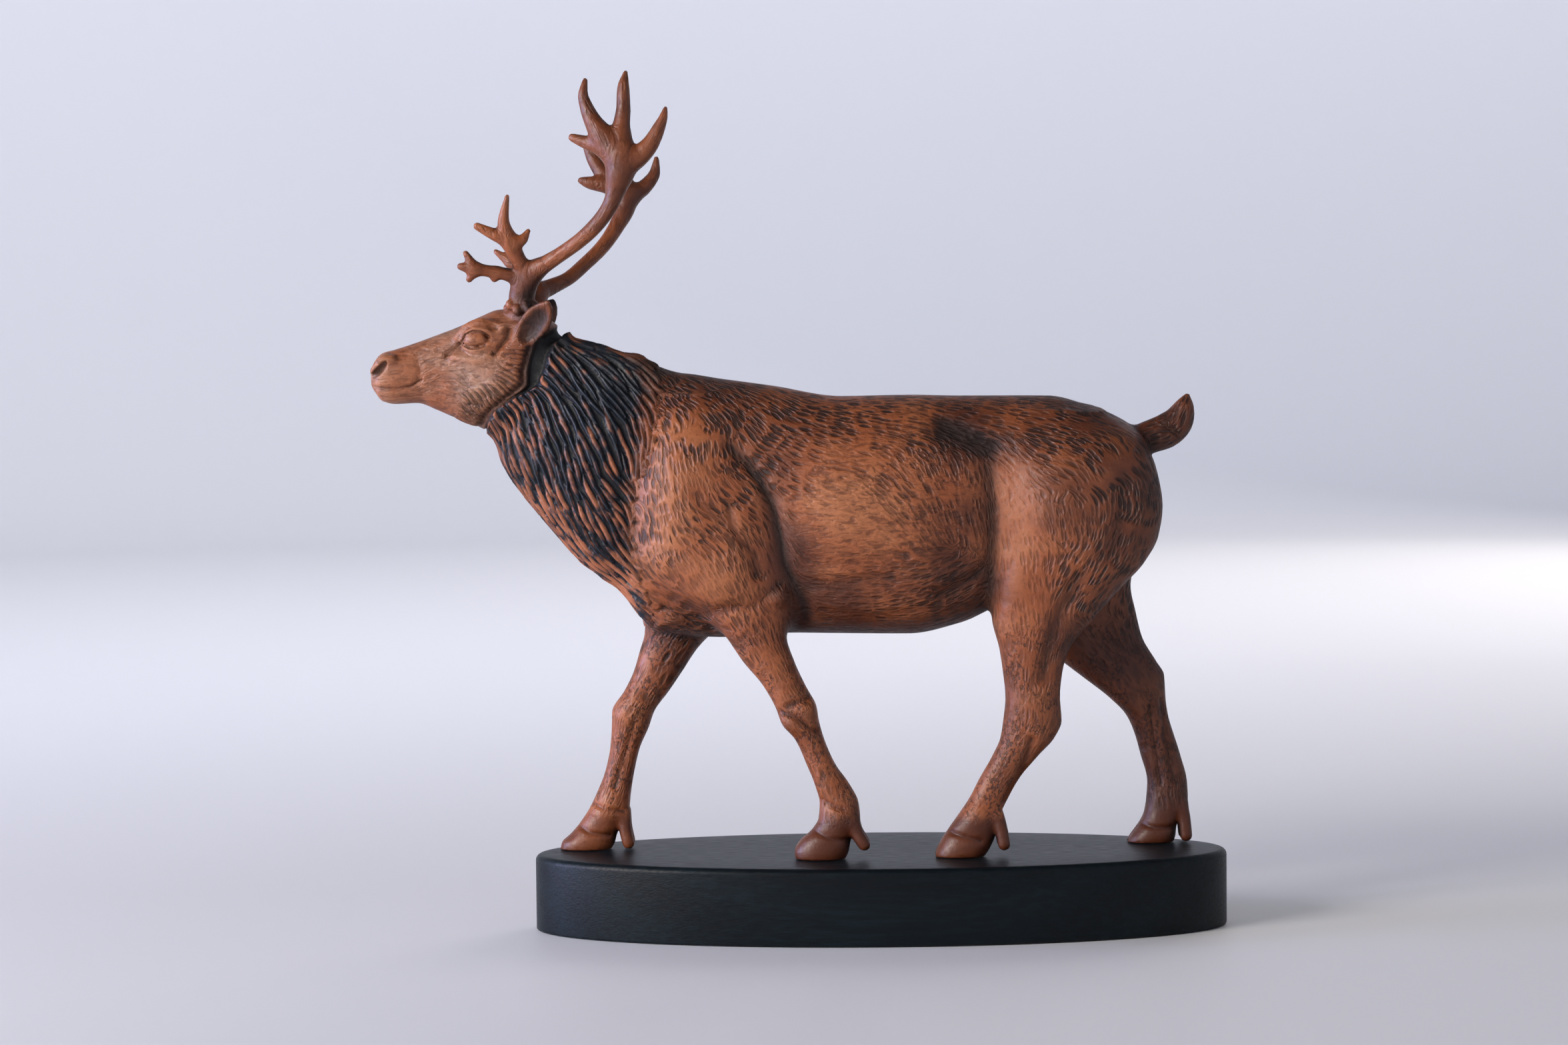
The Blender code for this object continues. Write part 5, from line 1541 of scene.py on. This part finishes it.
def new_object(name: str, points: Array, faces: Array) -> bpy.types.Object:
    """Puts a mesh of like-sided faces in the scene.

    Args:
        name: the object's name.
        points: places in metres.
        faces: rows of three or four corners.

    Returns:
        The new object, at the origin.
    """
    mesh = bpy.data.meshes.new(name)
    corners = faces.shape[1]
    mesh.vertices.add(len(points))
    mesh.vertices.foreach_set("co", np.ascontiguousarray(points, np.float32).ravel())
    mesh.loops.add(faces.size)
    mesh.loops.foreach_set("vertex_index", np.ascontiguousarray(faces, np.int32).ravel())
    mesh.polygons.add(len(faces))
    mesh.polygons.foreach_set("loop_start", np.arange(0, faces.size, corners, dtype=np.int32))
    mesh.update(calc_edges=True)
    mesh.validate()
    piece = bpy.data.objects.new(name, mesh)
    bpy.context.scene.collection.objects.link(piece)
    return piece


def settled(rough: bpy.types.Object, name: str) -> bpy.types.Object:
    """Applies an object's modifiers: its evaluated mesh becomes a new plain piece.

    Args:
        rough: the object, removed afterwards.
        name: name of the new piece.

    Returns:
        The new piece, with smooth shading.
    """
    graph = bpy.context.evaluated_depsgraph_get()
    mesh = bpy.data.meshes.new_from_object(rough.evaluated_get(graph))
    mesh.name = name
    mesh.polygons.foreach_set("use_smooth", np.ones(len(mesh.polygons), bool))
    piece = bpy.data.objects.new(name, mesh)
    bpy.context.scene.collection.objects.link(piece)
    bpy.data.objects.remove(rough, do_unlink=True)
    return piece


def keep_inside(mesh: bpy.types.Mesh, box: tuple[Row, Row]) -> None:
    """Moves a mesh's outermost points back into a box.

    Args:
        mesh: the mesh, changed in place.
        box: its lowest and highest corner, metres.
    """
    places = np.empty(len(mesh.vertices) * 3)
    mesh.vertices.foreach_get("co", places)
    inside = np.clip(places.reshape(-1, 3), np.array(box[0]), np.array(box[1]))
    mesh.vertices.foreach_set("co", inside.ravel())
    mesh.update()


def write_values(mesh: bpy.types.Mesh, name: str, values: Array) -> None:
    """Stores one number a point under a name."""
    mesh.attributes.new(name, "FLOAT", "POINT").data.foreach_set("value", np.asarray(values, np.float32))


def write_vectors(mesh: bpy.types.Mesh, name: str, vectors: Array) -> None:
    """Stores one vector a point under a name."""
    layer = mesh.attributes.new(name, "FLOAT_VECTOR", "POINT")
    layer.data.foreach_set("vector", np.asarray(vectors, np.float32).ravel())


# Settings that many nodes share.
PLUS = {"operation": "ADD"}
LESS = {"operation": "SUBTRACT"}
TIMES = {"operation": "MULTIPLY"}
TIMES_PLUS = {"operation": "MULTIPLY_ADD"}
GREATER = {"operation": "MAXIMUM"}
ALONG = {"operation": "DOT_PRODUCT"}
CLAMPED = {"use_clamp": True}
EASED = {"interpolation_type": "SMOOTHSTEP"}
COLOURS = {"data_type": "RGBA"}
FLAT = {"voronoi_dimensions": "2D"}


class Surface:
    """A material under construction."""

    def __init__(self, name: str) -> None:
        """Starts a material with a plain shader.

        Args:
            name: the material's name.
        """
        self.material = bpy.data.materials.new(name)
        self.material.use_nodes = True
        self.tree = self.material.node_tree
        self.shader = self.tree.nodes["Principled BSDF"]
        self.place = self.add("TexCoord", out="Object")

    def feed(self, node: bpy.types.Node, inputs: dict) -> None:
        """Feeds a node.

        Args:
            node: the node.
            inputs: number, vector, hex colour or socket for each input, by index or name.
        """
        for key, value in inputs.items():
            if isinstance(value, bpy.types.NodeSocket):
                self.tree.links.new(value, node.inputs[key])
            else:
                node.inputs[key].default_value = linear(value) if isinstance(value, str) else value

    def add(self, kind: str, inputs: tuple | dict = (), settings: dict | None = None,
            out: int | str = 0) -> bpy.types.NodeSocket:
        """Adds a node with its settings and links.

        Args:
            kind: the node's type, without its leading ShaderNode.
            inputs: what feeds it, in the order of its inputs or by index or name.
            settings: its properties by name.
            out: which output is handed back.

        Returns:
            The chosen output.
        """
        node = self.tree.nodes.new("ShaderNode" + kind)
        for name, value in (settings or {}).items():
            setattr(node, name, value)
        self.feed(node, inputs if isinstance(inputs, dict) else dict(enumerate(inputs)))
        return node.outputs[out]

    def stretched(self, periods: Row) -> bpy.types.NodeSocket:
        """Returns the place multiplied axis by axis, so that one unit is one period in mm."""
        return self.add("VectorMath", (self.place, tuple(1 / (period * MM) for period in periods)), TIMES)


@dataclass(frozen=True)
class StainedCarvedWood:
    """Stained carved wood: a close-grained wood cut with small gouges, stained
    red-brown, its hollows darkened with a brown glaze and with painted shade,
    rubbed back on the ridges, then waxed. Over broad places the stain is darkened
    as painted shade and lightened as painted light. The eye sees soft satin
    highlights, fine level grain, short dark chisel strokes and a near-black mane
    with coppery lock tips, its black tinted blue as a painted sheen.
    """

    stain: str = "#914f2a"
    # The pale stain also stands for painted light, and the deep stain and the glaze for painted shade,
    # where the tone and the hollows put them.
    pale_stain_and_painted_light: str = "#a76841"
    deep_stain_and_painted_shade: str = "#4a210f"
    glaze_and_painted_shade: str = "#1a0b05"
    # The head's tan stain is greyed, in part as a painted sheen.
    head_stain_and_sheen: str = "#93745f"
    # The mane's black is made blacker in its hollows as painted shade, and tinted blue as a painted sheen.
    mane_shade_black: str = "#030406"
    mane_black_and_blue_sheen: str = "#0a1420"
    lock_copper: str = "#a0603f"
    # Sets of strokes: size of a patch, length and spacing of strokes, and shift, mm.
    stroke_sets: tuple[tuple[float, float, float, Row], ...] = (
        (15.0, 7.0, 1.9, (0.0, 0.0, 0.0)),
        (13.0, 5.6, 1.6, (31.0, 17.0, 23.0)),
        (14.0, 6.0, 1.7, (-23.0, 41.0, -37.0)),
    )
    # Moves the pattern of each patch by its own way, so that no two patches match.
    patch_shift: tuple[float, float, float] = (913.0, 577.0, 0.0)
    # Noises: period along x, y and z in mm, octaves, roughness, distortion. The
    # first thins the strokes in patches, then come the specks of the pores, the
    # patches of pits, the wrinkles of the gouge, clouds and flecks of worn stain.
    noises: Rows = (
        (13.0, 13.0, 10.0, 2.0, 0.5, 0.0),
        (1.1, 1.1, 1.4, 3.0, 0.62, 0.0),
        (6.0, 6.0, 9.0, 2.0, 0.5, 0.0),
        (4.2, 3.0, 1.2, 2.0, 0.5, 0.7),
        (22.0, 20.0, 18.0, 3.0, 0.55, 0.0),
        (4.0, 4.0, 4.0, 3.0, 0.5, 0.0),
    )

    def strokes(self, s: Surface, patch: float, length: float, spacing: float,
                shift: Row) -> bpy.types.NodeSocket:
        """Lays one set of short chisel strokes along the lie, patch by patch.

        Space is split into patches, each with a middle. In a patch a place is
        told by its way from the middle along the lie and across it, squeezed
        so that a stroke's length and the spacing of strokes both come to 1.
        Each cell of a pattern over these two numbers holds one stroke, deepest
        in its middle and of its own strength. A patch fades at its border.

        Args:
            s: the material.
            patch: size of a patch, mm.
            length: from one stroke to the next along the lie, mm.
            spacing: from one stroke to the next across the lie, mm.
            shift: moves the set, mm.

        Returns:
            0 off the strokes, up to 1 in them.
        """
        place = s.add("VectorMath", (s.place, tuple(v * MM for v in shift)), PLUS)
        patches = {"Vector": place, "Scale": 1 / (patch * MM), "Randomness": 0.9}
        middle = s.add("TexVoronoi", patches, out="Position")
        edge = s.add("MapRange", (middle.node.outputs["Distance"], 0.66, 0.5), EASED)
        local = s.add("VectorMath", (place, middle), LESS)
        ways = []
        for name, size in (("lie", length), ("aside", spacing)):
            arrow = s.add("Attribute", (), {"attribute_name": name}, "Vector")
            way = s.add("VectorMath", (local, arrow), ALONG, 1)
            ways.append(s.add("Math", (way, 1 / (size * MM)), TIMES))
        pair = s.add("CombineXYZ", tuple(ways), out="Vector")
        pair = s.add("VectorMath", (pair, s.add("VectorMath", (middle, self.patch_shift), TIMES)), PLUS)
        cells = s.add("TexVoronoi", {"Vector": pair, "Scale": 1.0, "Randomness": 0.8}, FLAT, "Distance")
        strength = s.add("SeparateColor", (cells.node.outputs["Color"],), out="Red")
        strength = s.add("MapRange", (strength, 0.0, 0.7, 0.3, 1.0), EASED)
        mark = s.add("Math", (s.add("MapRange", (cells, 0.5, 0.14), EASED), strength), TIMES)
        return s.add("Math", (mark, edge), TIMES)

    def material(self) -> bpy.types.Material:
        """Builds the finish.

        Returns:
            The material.
        """
        s = Surface("stained_carved_wood")
        add = s.add
        names = ("mane", "lock", "head", "tuft", "fur", "cut", "ridge", "closed_near", "closed_far",
                 "tone", "strokes", "barrel", "legs", "hooves")
        mane, lock, head, tuft, fur, cut, ridge, near, far, tone, strokes, barrel, legs, hooves = (
            add("Attribute", (), {"attribute_name": name}, "Fac") for name in names)
        patchy, speck, pitted, wrinkle, cloud, fleck = (
            add("TexNoise", {"Vector": s.stretched(row[:3]), "Scale": 1.0, "Detail": row[3],
                             "Roughness": row[4], "Distortion": row[5]}) for row in self.noises)

        # Strokes of the gouge, and pits on the legs.
        sets = [self.strokes(s, *chosen) for chosen in self.stroke_sets]
        carved = add("Math", (add("Math", (sets[0], sets[1]), GREATER), sets[2]), GREATER)
        plain = add("Math", (mane, head), GREATER)
        plain = add("Math", (plain, add("Math", (legs, hooves), GREATER)), GREATER)
        faint = add("Math", (add("Math", (1.0, plain), LESS), 0.14), TIMES)
        shown = add("Math", (strokes, faint), GREATER)
        patchy = add("MapRange", (patchy, 0.36, 0.56, 0.62, 1.0), EASED)
        marks = add("Math", (add("Math", (carved, shown), TIMES), patchy), TIMES)
        marks = add("Math", (marks, 1.35), TIMES | CLAMPED)
        pitted = add("MapRange", (pitted, 0.4, 0.58), EASED)
        pits = add("Math", (add("MapRange", (speck, 0.5, 0.41, 0.0, 0.75), EASED), pitted), TIMES)
        pits = add("Math", (pits, legs), TIMES)

        # Stain, darker where the glaze was left and where shade is painted, lighter where light is painted,
        # and rubbed back on the ridges.
        depth = add("Math", (add("Math", (cloud, 0.5), LESS), 0.9, tone), TIMES_PLUS)
        depth = add("Math", (legs, 0.12, add("Math", (hooves, 0.62, depth), TIMES_PLUS)), TIMES_PLUS)
        share = add("MapRange", (depth, 0.0, 0.45), EASED)
        colour = add("Mix", {0: share, 6: self.pale_stain_and_painted_light, 7: self.stain}, COLOURS, 2)
        share = add("MapRange", (depth, 0.3, 1.0, 0.0, 0.95), EASED)
        colour = add("Mix", {0: share, 6: colour, 7: self.deep_stain_and_painted_shade}, COLOURS, 2)
        # The head takes its own tan stain, greyed in part as a painted sheen.
        share = add("MapRange", (depth, 0.0, 0.6), EASED)
        head_colour = add("Mix", {0: share, 6: self.head_stain_and_sheen, 7: self.stain}, COLOURS, 2)
        share = add("Math", (head, 0.85), TIMES)
        colour = add("Mix", {0: share, 6: colour, 7: head_colour}, COLOURS, 2)
        rubbed = add("MapRange", (ridge, 0.46, 0.25, 0.0, 0.5), EASED)
        rubbed = add("Math", (rubbed, add("MapRange", (depth, 0.1, 0.9, 1.0, 0.1), EASED)), TIMES)
        colour = add("Mix", {0: rubbed, 6: colour, 7: self.pale_stain_and_painted_light}, COLOURS, 2)

        # Wrinkles and pores take more stain.
        calm = add("Math", (barrel, 0.8, add("Math", (head, 0.5, 0.14), TIMES_PLUS)), TIMES_PLUS)
        worked = add("Math", (add("Math", (wrinkle, 0.5), LESS), calm, 0.5), TIMES_PLUS)
        share = add("MapRange", (worked, 0.52, 0.36, 0.0, 0.55), EASED)
        colour = add("Mix", {0: share, 6: colour, 7: self.deep_stain_and_painted_shade}, COLOURS, 2)
        share = add("MapRange", (speck, 0.5, 0.3, 0.0, 0.35), EASED)
        colour = add("Mix", {0: share, 6: colour, 7: self.deep_stain_and_painted_shade}, COLOURS, 2)

        # Glaze in the hollows, in the cuts and between the tufts, deepened there as painted shade; the bare
        # hollow behind the jaw and the rim of the cheek are painted shade.
        closed = add("MapRange", (near, 0.12, 0.75), EASED)
        for value, *span in ((far, 0.2, 0.95, 0.0, 0.7), (cut, 0.1, 0.8), (ridge, 0.56, 0.8, 0.0, 0.75)):
            closed = add("Math", (closed, add("MapRange", (value, *span), EASED)), GREATER)
        closed = add("Math", (closed, add("Math", (head, -0.35, 0.9), TIMES_PLUS)), TIMES)
        colour = add("Mix", {0: closed, 6: colour, 7: self.glaze_and_painted_shade}, COLOURS, 2)
        between = add("Math", (fur, tuft), LESS | CLAMPED)
        between = add("Math", (between, add("Math", (head, -0.42, 0.92), TIMES_PLUS)), TIMES)
        dark = add("Math", (add("Math", (marks, pits), GREATER), between), GREATER)
        dark = add("Math", (dark, 0.88), TIMES | CLAMPED)
        colour = add("Mix", {0: dark, 6: colour, 7: self.glaze_and_painted_shade}, COLOURS, 2)

        # The black of the mane, worn through to copper on the locks, tinted blue as a painted sheen and
        # blacker in its hollows as painted shade.
        worn = add("Math", (fleck, 0.7, add("Math", (lock, 0.1), LESS)), TIMES_PLUS)
        worn = add("Math", (tone, -0.5, worn), TIMES_PLUS)
        share = add("MapRange", (worn, 0.42, 0.86), EASED)
        mane_colour = add("Mix", {0: share, 6: self.mane_black_and_blue_sheen, 7: self.lock_copper}, COLOURS, 2)
        mane_colour = add("Mix", {0: closed, 6: mane_colour, 7: self.mane_shade_black}, COLOURS, 2)
        colour = add("Mix", {0: mane, 6: colour, 7: mane_colour}, COLOURS, 2)

        rough = add("MapRange", (speck, 0.3, 0.7, 0.38, 0.54), EASED)
        for value, more in ((dark, 0.18), (closed, 0.25), (mane, 0.04)):
            rough = add("Math", (value, more, rough), TIMES_PLUS)
        relief = add("Math", (marks, -0.6), TIMES)
        relief = add("Math", (pits, -0.22, relief), TIMES_PLUS)
        off_mane = add("Math", (worked, add("Math", (1.0, mane), LESS)), TIMES)
        relief = add("Math", (off_mane, 0.55, relief), TIMES_PLUS)
        relief = add("Math", (speck, 0.12, relief), TIMES_PLUS)
        s.feed(s.shader, {
            "Base Color": colour,
            "Roughness": rough,
            "IOR": 1.48,
            "Specular IOR Level": 0.42,
            "Coat Weight": 0.1,
            "Coat Roughness": 0.35,
            "Normal": add("Bump", {"Strength": 1.0, "Distance": MM, "Height": relief}),
        })
        return s.material


@dataclass(frozen=True)
class BlackenedWood:
    """Blackened wood: a flat-sawn board stained blue-black and oiled. The eye
    sees a satin dark face with faint grain, level on top and bowed on the side.
    """

    black: str = "#02080d"
    worn: str = "#08191f"
    # Noises: period along x, y and z in mm, octaves, roughness, distortion, for
    # the bow of the board, its grain and its pores. Then the period of its rings.
    noises: Rows = (
        (90.0, 60.0, 40.0, 1.5, 0.5, 0.6),
        (34.0, 1.1, 1.6, 5.0, 0.62, 0.3),
        (6.0, 0.5, 0.5, 2.0, 0.5, 0.0),
    )
    rings: Row = (260.0, 42.0, 36.0)

    def material(self) -> bpy.types.Material:
        """Builds the finish.

        Returns:
            The material.
        """
        s = Surface("blackened_wood")
        bow, grain, pore = (
            s.add("TexNoise", {"Vector": s.stretched(row[:3]), "Scale": 1.0, "Detail": row[3],
                               "Roughness": row[4], "Distortion": row[5]}) for row in self.noises)
        waves = {"Vector": s.stretched(self.rings), "Scale": 1.0, "Distortion": 3.0, "Detail": 3.0,
                 "Detail Scale": 1.2}
        rings = s.add("TexWave", waves, {"wave_type": "RINGS", "rings_direction": "X"})
        lines = s.add("MapRange", (grain, 0.42, 0.66), EASED)
        lines = s.add("Math", (lines, 0.6, s.add("Math", (rings, 0.4), TIMES)), TIMES_PLUS)
        share = s.add("Math", (lines, 0.75), TIMES)
        colour = s.add("Mix", {0: share, 6: self.black, 7: self.worn}, COLOURS, 2)
        share = s.add("MapRange", (bow, 0.4, 0.7, 0.0, 0.35), EASED)
        colour = s.add("Mix", {0: share, 6: colour, 7: self.black}, COLOURS, 2)
        relief = s.add("Math", (grain, 0.1, s.add("Math", (pore, 0.05), TIMES)), TIMES_PLUS)
        s.feed(s.shader, {
            "Base Color": colour,
            "Roughness": s.add("MapRange", (pore, 0.3, 0.7, 0.36, 0.5), EASED),
            "Specular IOR Level": 0.2,
            "Normal": s.add("Bump", {"Strength": 1.0, "Distance": MM, "Height": relief}),
        })
        return s.material


@dataclass(frozen=True)
class Plinth:
    """The oval plinth: a board with eased edges."""

    length: float = 0.236
    width: float = 0.092
    thickness: float = PLINTH_THICKNESS
    top_round: float = 0.0022
    foot_round: float = 0.0008
    around: int = 384
    node: str = "plinth"
    body: str = "root"

    def build(self) -> bpy.types.Object:
        """Builds the board: ovals (a cos t, b sin t), each shrunk and raised by the rounded edge.

        Returns:
            The plinth's object.
        """
        foot = np.linspace(0, math.pi / 2, 5)
        top = np.linspace(0, math.pi / 2, 9)
        inset = np.concatenate([
            [self.width / 2 * 0.999, self.width / 4], self.foot_round * (1 - np.sin(foot)),
            self.top_round * (1 - np.cos(top)), [self.width / 4, self.width / 2 * 0.999]])
        height = np.concatenate([
            [0, 0], self.foot_round * (1 - np.cos(foot)),
            self.thickness - self.top_round * (1 - np.sin(top)), [self.thickness, self.thickness]])
        turn = np.linspace(0, 2 * math.pi, self.around, endpoint=False)
        x = (self.length / 2 - inset)[:, None] * np.cos(turn)
        y = (self.width / 2 - inset)[:, None] * np.sin(turn)
        z = np.broadcast_to(height[:, None], x.shape)
        points = np.stack([x, y, z], axis=-1).reshape(-1, 3)
        piece = new_object("oval_plinth", points, ring_faces(len(inset), self.around))
        mesh = piece.data
        close_rings(mesh, (range(self.around - 1, -1, -1), range(len(points) - self.around, len(points))))
        mesh.polygons.foreach_set("use_smooth", np.ones(len(mesh.polygons), bool))
        mesh.materials.append(BlackenedWood().material())
        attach(piece, self.body)
        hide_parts(self.node)
        log.info("plinth: %d faces", len(mesh.polygons))
        return piece


def ring_faces(rings: int, around: int) -> Array:
    """Joins each ring of points to the next with four-sided faces.

    Args:
        rings: number of rings.
        around: points in a ring.

    Returns:
        Rows of four corners, facing outwards where the rings climb.
    """
    ring, step = np.meshgrid(np.arange(rings - 1), np.arange(around), indexing="ij")
    here, after = ring * around + step, ring * around + (step + 1) % around
    return np.stack([here, after, after + around, here + around], axis=-1).reshape(-1, 4)


def close_rings(mesh: bpy.types.Mesh, rings: tuple[range, ...]) -> None:
    """Closes rings of points with one flat face each.

    Args:
        mesh: the mesh, changed in place.
        rings: the points of each ring, counter-clockwise as seen from outside.
    """
    work = bmesh.new()
    work.from_mesh(mesh)
    work.verts.ensure_lookup_table()
    for ring in rings:
        work.faces.new([work.verts[i] for i in ring])
    work.to_mesh(mesh)
    work.free()


@dataclass(frozen=True)
class SoftLight:
    """A soft square light: its place, what it faces, its sides in metres, and its watts.

    One that doesn't shine lights the wood but isn't mirrored in glossy places.
    """

    name: str
    place: Row
    aim: Row
    size: float
    power: float
    colour: str
    shines: bool = True

    def build(self) -> None:
        """Adds the light, hidden from the camera."""
        lamp = bpy.data.lights.new(self.name, "AREA")
        lamp.size, lamp.energy = self.size, self.power
        lamp.color = linear(self.colour)[:3]
        holder = bpy.data.objects.new(self.name, lamp)
        holder.visible_camera = False
        holder.visible_glossy = self.shines
        turn = (Vector(self.place) - Vector(self.aim)).to_track_quat("Z", "Y").to_matrix().to_4x4()
        holder.matrix_world = Matrix.Translation(self.place) @ turn
        bpy.context.scene.collection.objects.link(holder)


@dataclass(frozen=True)
class Studio:
    """Plain pale floor and walls all round, soft lights and the camera.

    Lengths are in metres, angles in degrees: the camera looks down by its pitch.
    The floor lies a hair under the plinth.
    """

    floor_reach: float = 1.9
    cove: float = 0.6
    wall: float = 1.6
    around: int = 128
    floor_gap: float = 0.0002
    paint: str = "#d8dadc"
    paint_roughness: float = 0.55
    room: str = "#d4d6dc"
    room_strength: float = 0.18
    lens: float = 100.0
    sensor: float = 36.0
    camera_place: tuple[float, float, float] = (-0.03212, -1.478, 0.23626)
    camera_pitch: float = 3.783
    camera_roll: float = -0.544
    lights: tuple[SoftLight, ...] = (
        SoftLight("window_key", (-1.6, -1.25, 0.8), (-0.02, 0.0, 0.13), 0.8, 42.0, "#fff6ee"),
        SoftLight("cool_side", (-1.7, -0.2, 0.35), (-0.02, 0.0, 0.13), 0.8, 30.0, "#c2caff"),
        SoftLight("wall_wash", (-0.3, 0.7, 1.3), (-0.4, 2.4, 0.5), 1.0, 15.0, "#eef0ff"),
        SoftLight("far_fill", (0.9, 1.5, 0.7), (-0.02, 0.0, 0.15), 1.0, 12.0, "#fff4ea", shines=False),
    )

    def build(self) -> None:
        """Builds the backdrop, the lights and the camera."""
        self.backdrop()
        for light in self.lights:
            light.build()
        world = bpy.data.worlds.new("pale_room")
        world.use_nodes = True
        background = world.node_tree.nodes["Background"]
        background.inputs["Color"].default_value = linear(self.room)
        background.inputs["Strength"].default_value = self.room_strength
        bpy.context.scene.world = world
        bpy.context.scene.view_settings.view_transform = "Standard"
        self.camera()

    def backdrop(self) -> None:
        """Builds a round pale floor that rises in a cove, a quarter circle, into a wall."""
        bend = np.linspace(0, math.pi / 2, 24)[1:]
        flat = np.concatenate([[0.02], np.linspace(0.2, self.floor_reach, 8)])
        outer = self.floor_reach + self.cove
        reach = np.concatenate([flat, self.floor_reach + self.cove * np.sin(bend), [outer]])
        rise = np.concatenate([0 * flat, self.cove * (1 - np.cos(bend)), [self.cove + self.wall]])
        turn = np.linspace(0, 2 * math.pi, self.around, endpoint=False)
        x, y = reach[:, None] * np.cos(turn), reach[:, None] * np.sin(turn)
        z = np.broadcast_to(rise[:, None], x.shape) - self.floor_gap
        points = np.stack([x, y, z], axis=-1).reshape(-1, 3)
        floor = new_object("pale_floor", points, ring_faces(len(reach), self.around)[:, ::-1])
        close_rings(floor.data, (range(self.around),))
        floor.data.polygons.foreach_set("use_smooth", np.ones(len(floor.data.polygons), bool))
        s = Surface("pale_paint")
        s.feed(s.shader, {"Base Color": self.paint, "Roughness": self.paint_roughness})
        floor.data.materials.append(s.material)

    def camera(self) -> None:
        """Sets up the camera."""
        data = bpy.data.cameras.new("view")
        data.lens = self.lens
        data.sensor_width = self.sensor
        data.clip_end = 20.0
        holder = bpy.data.objects.new("view", data)
        turn = Matrix.Rotation(math.radians(90 - self.camera_pitch), 4, "X")
        turn = turn @ Matrix.Rotation(math.radians(self.camera_roll), 4, "Z")
        holder.matrix_world = Matrix.Translation(self.camera_place) @ turn
        bpy.context.scene.collection.objects.link(holder)
        bpy.context.scene.camera = holder


def main() -> None:
    """Builds the studio and both pieces, and reports each."""
    logging.basicConfig(level=logging.INFO, format="%(name)s %(message)s")
    Studio().build()
    Plinth().build()
    Figure().build()


if __name__ == "__main__":
    main()
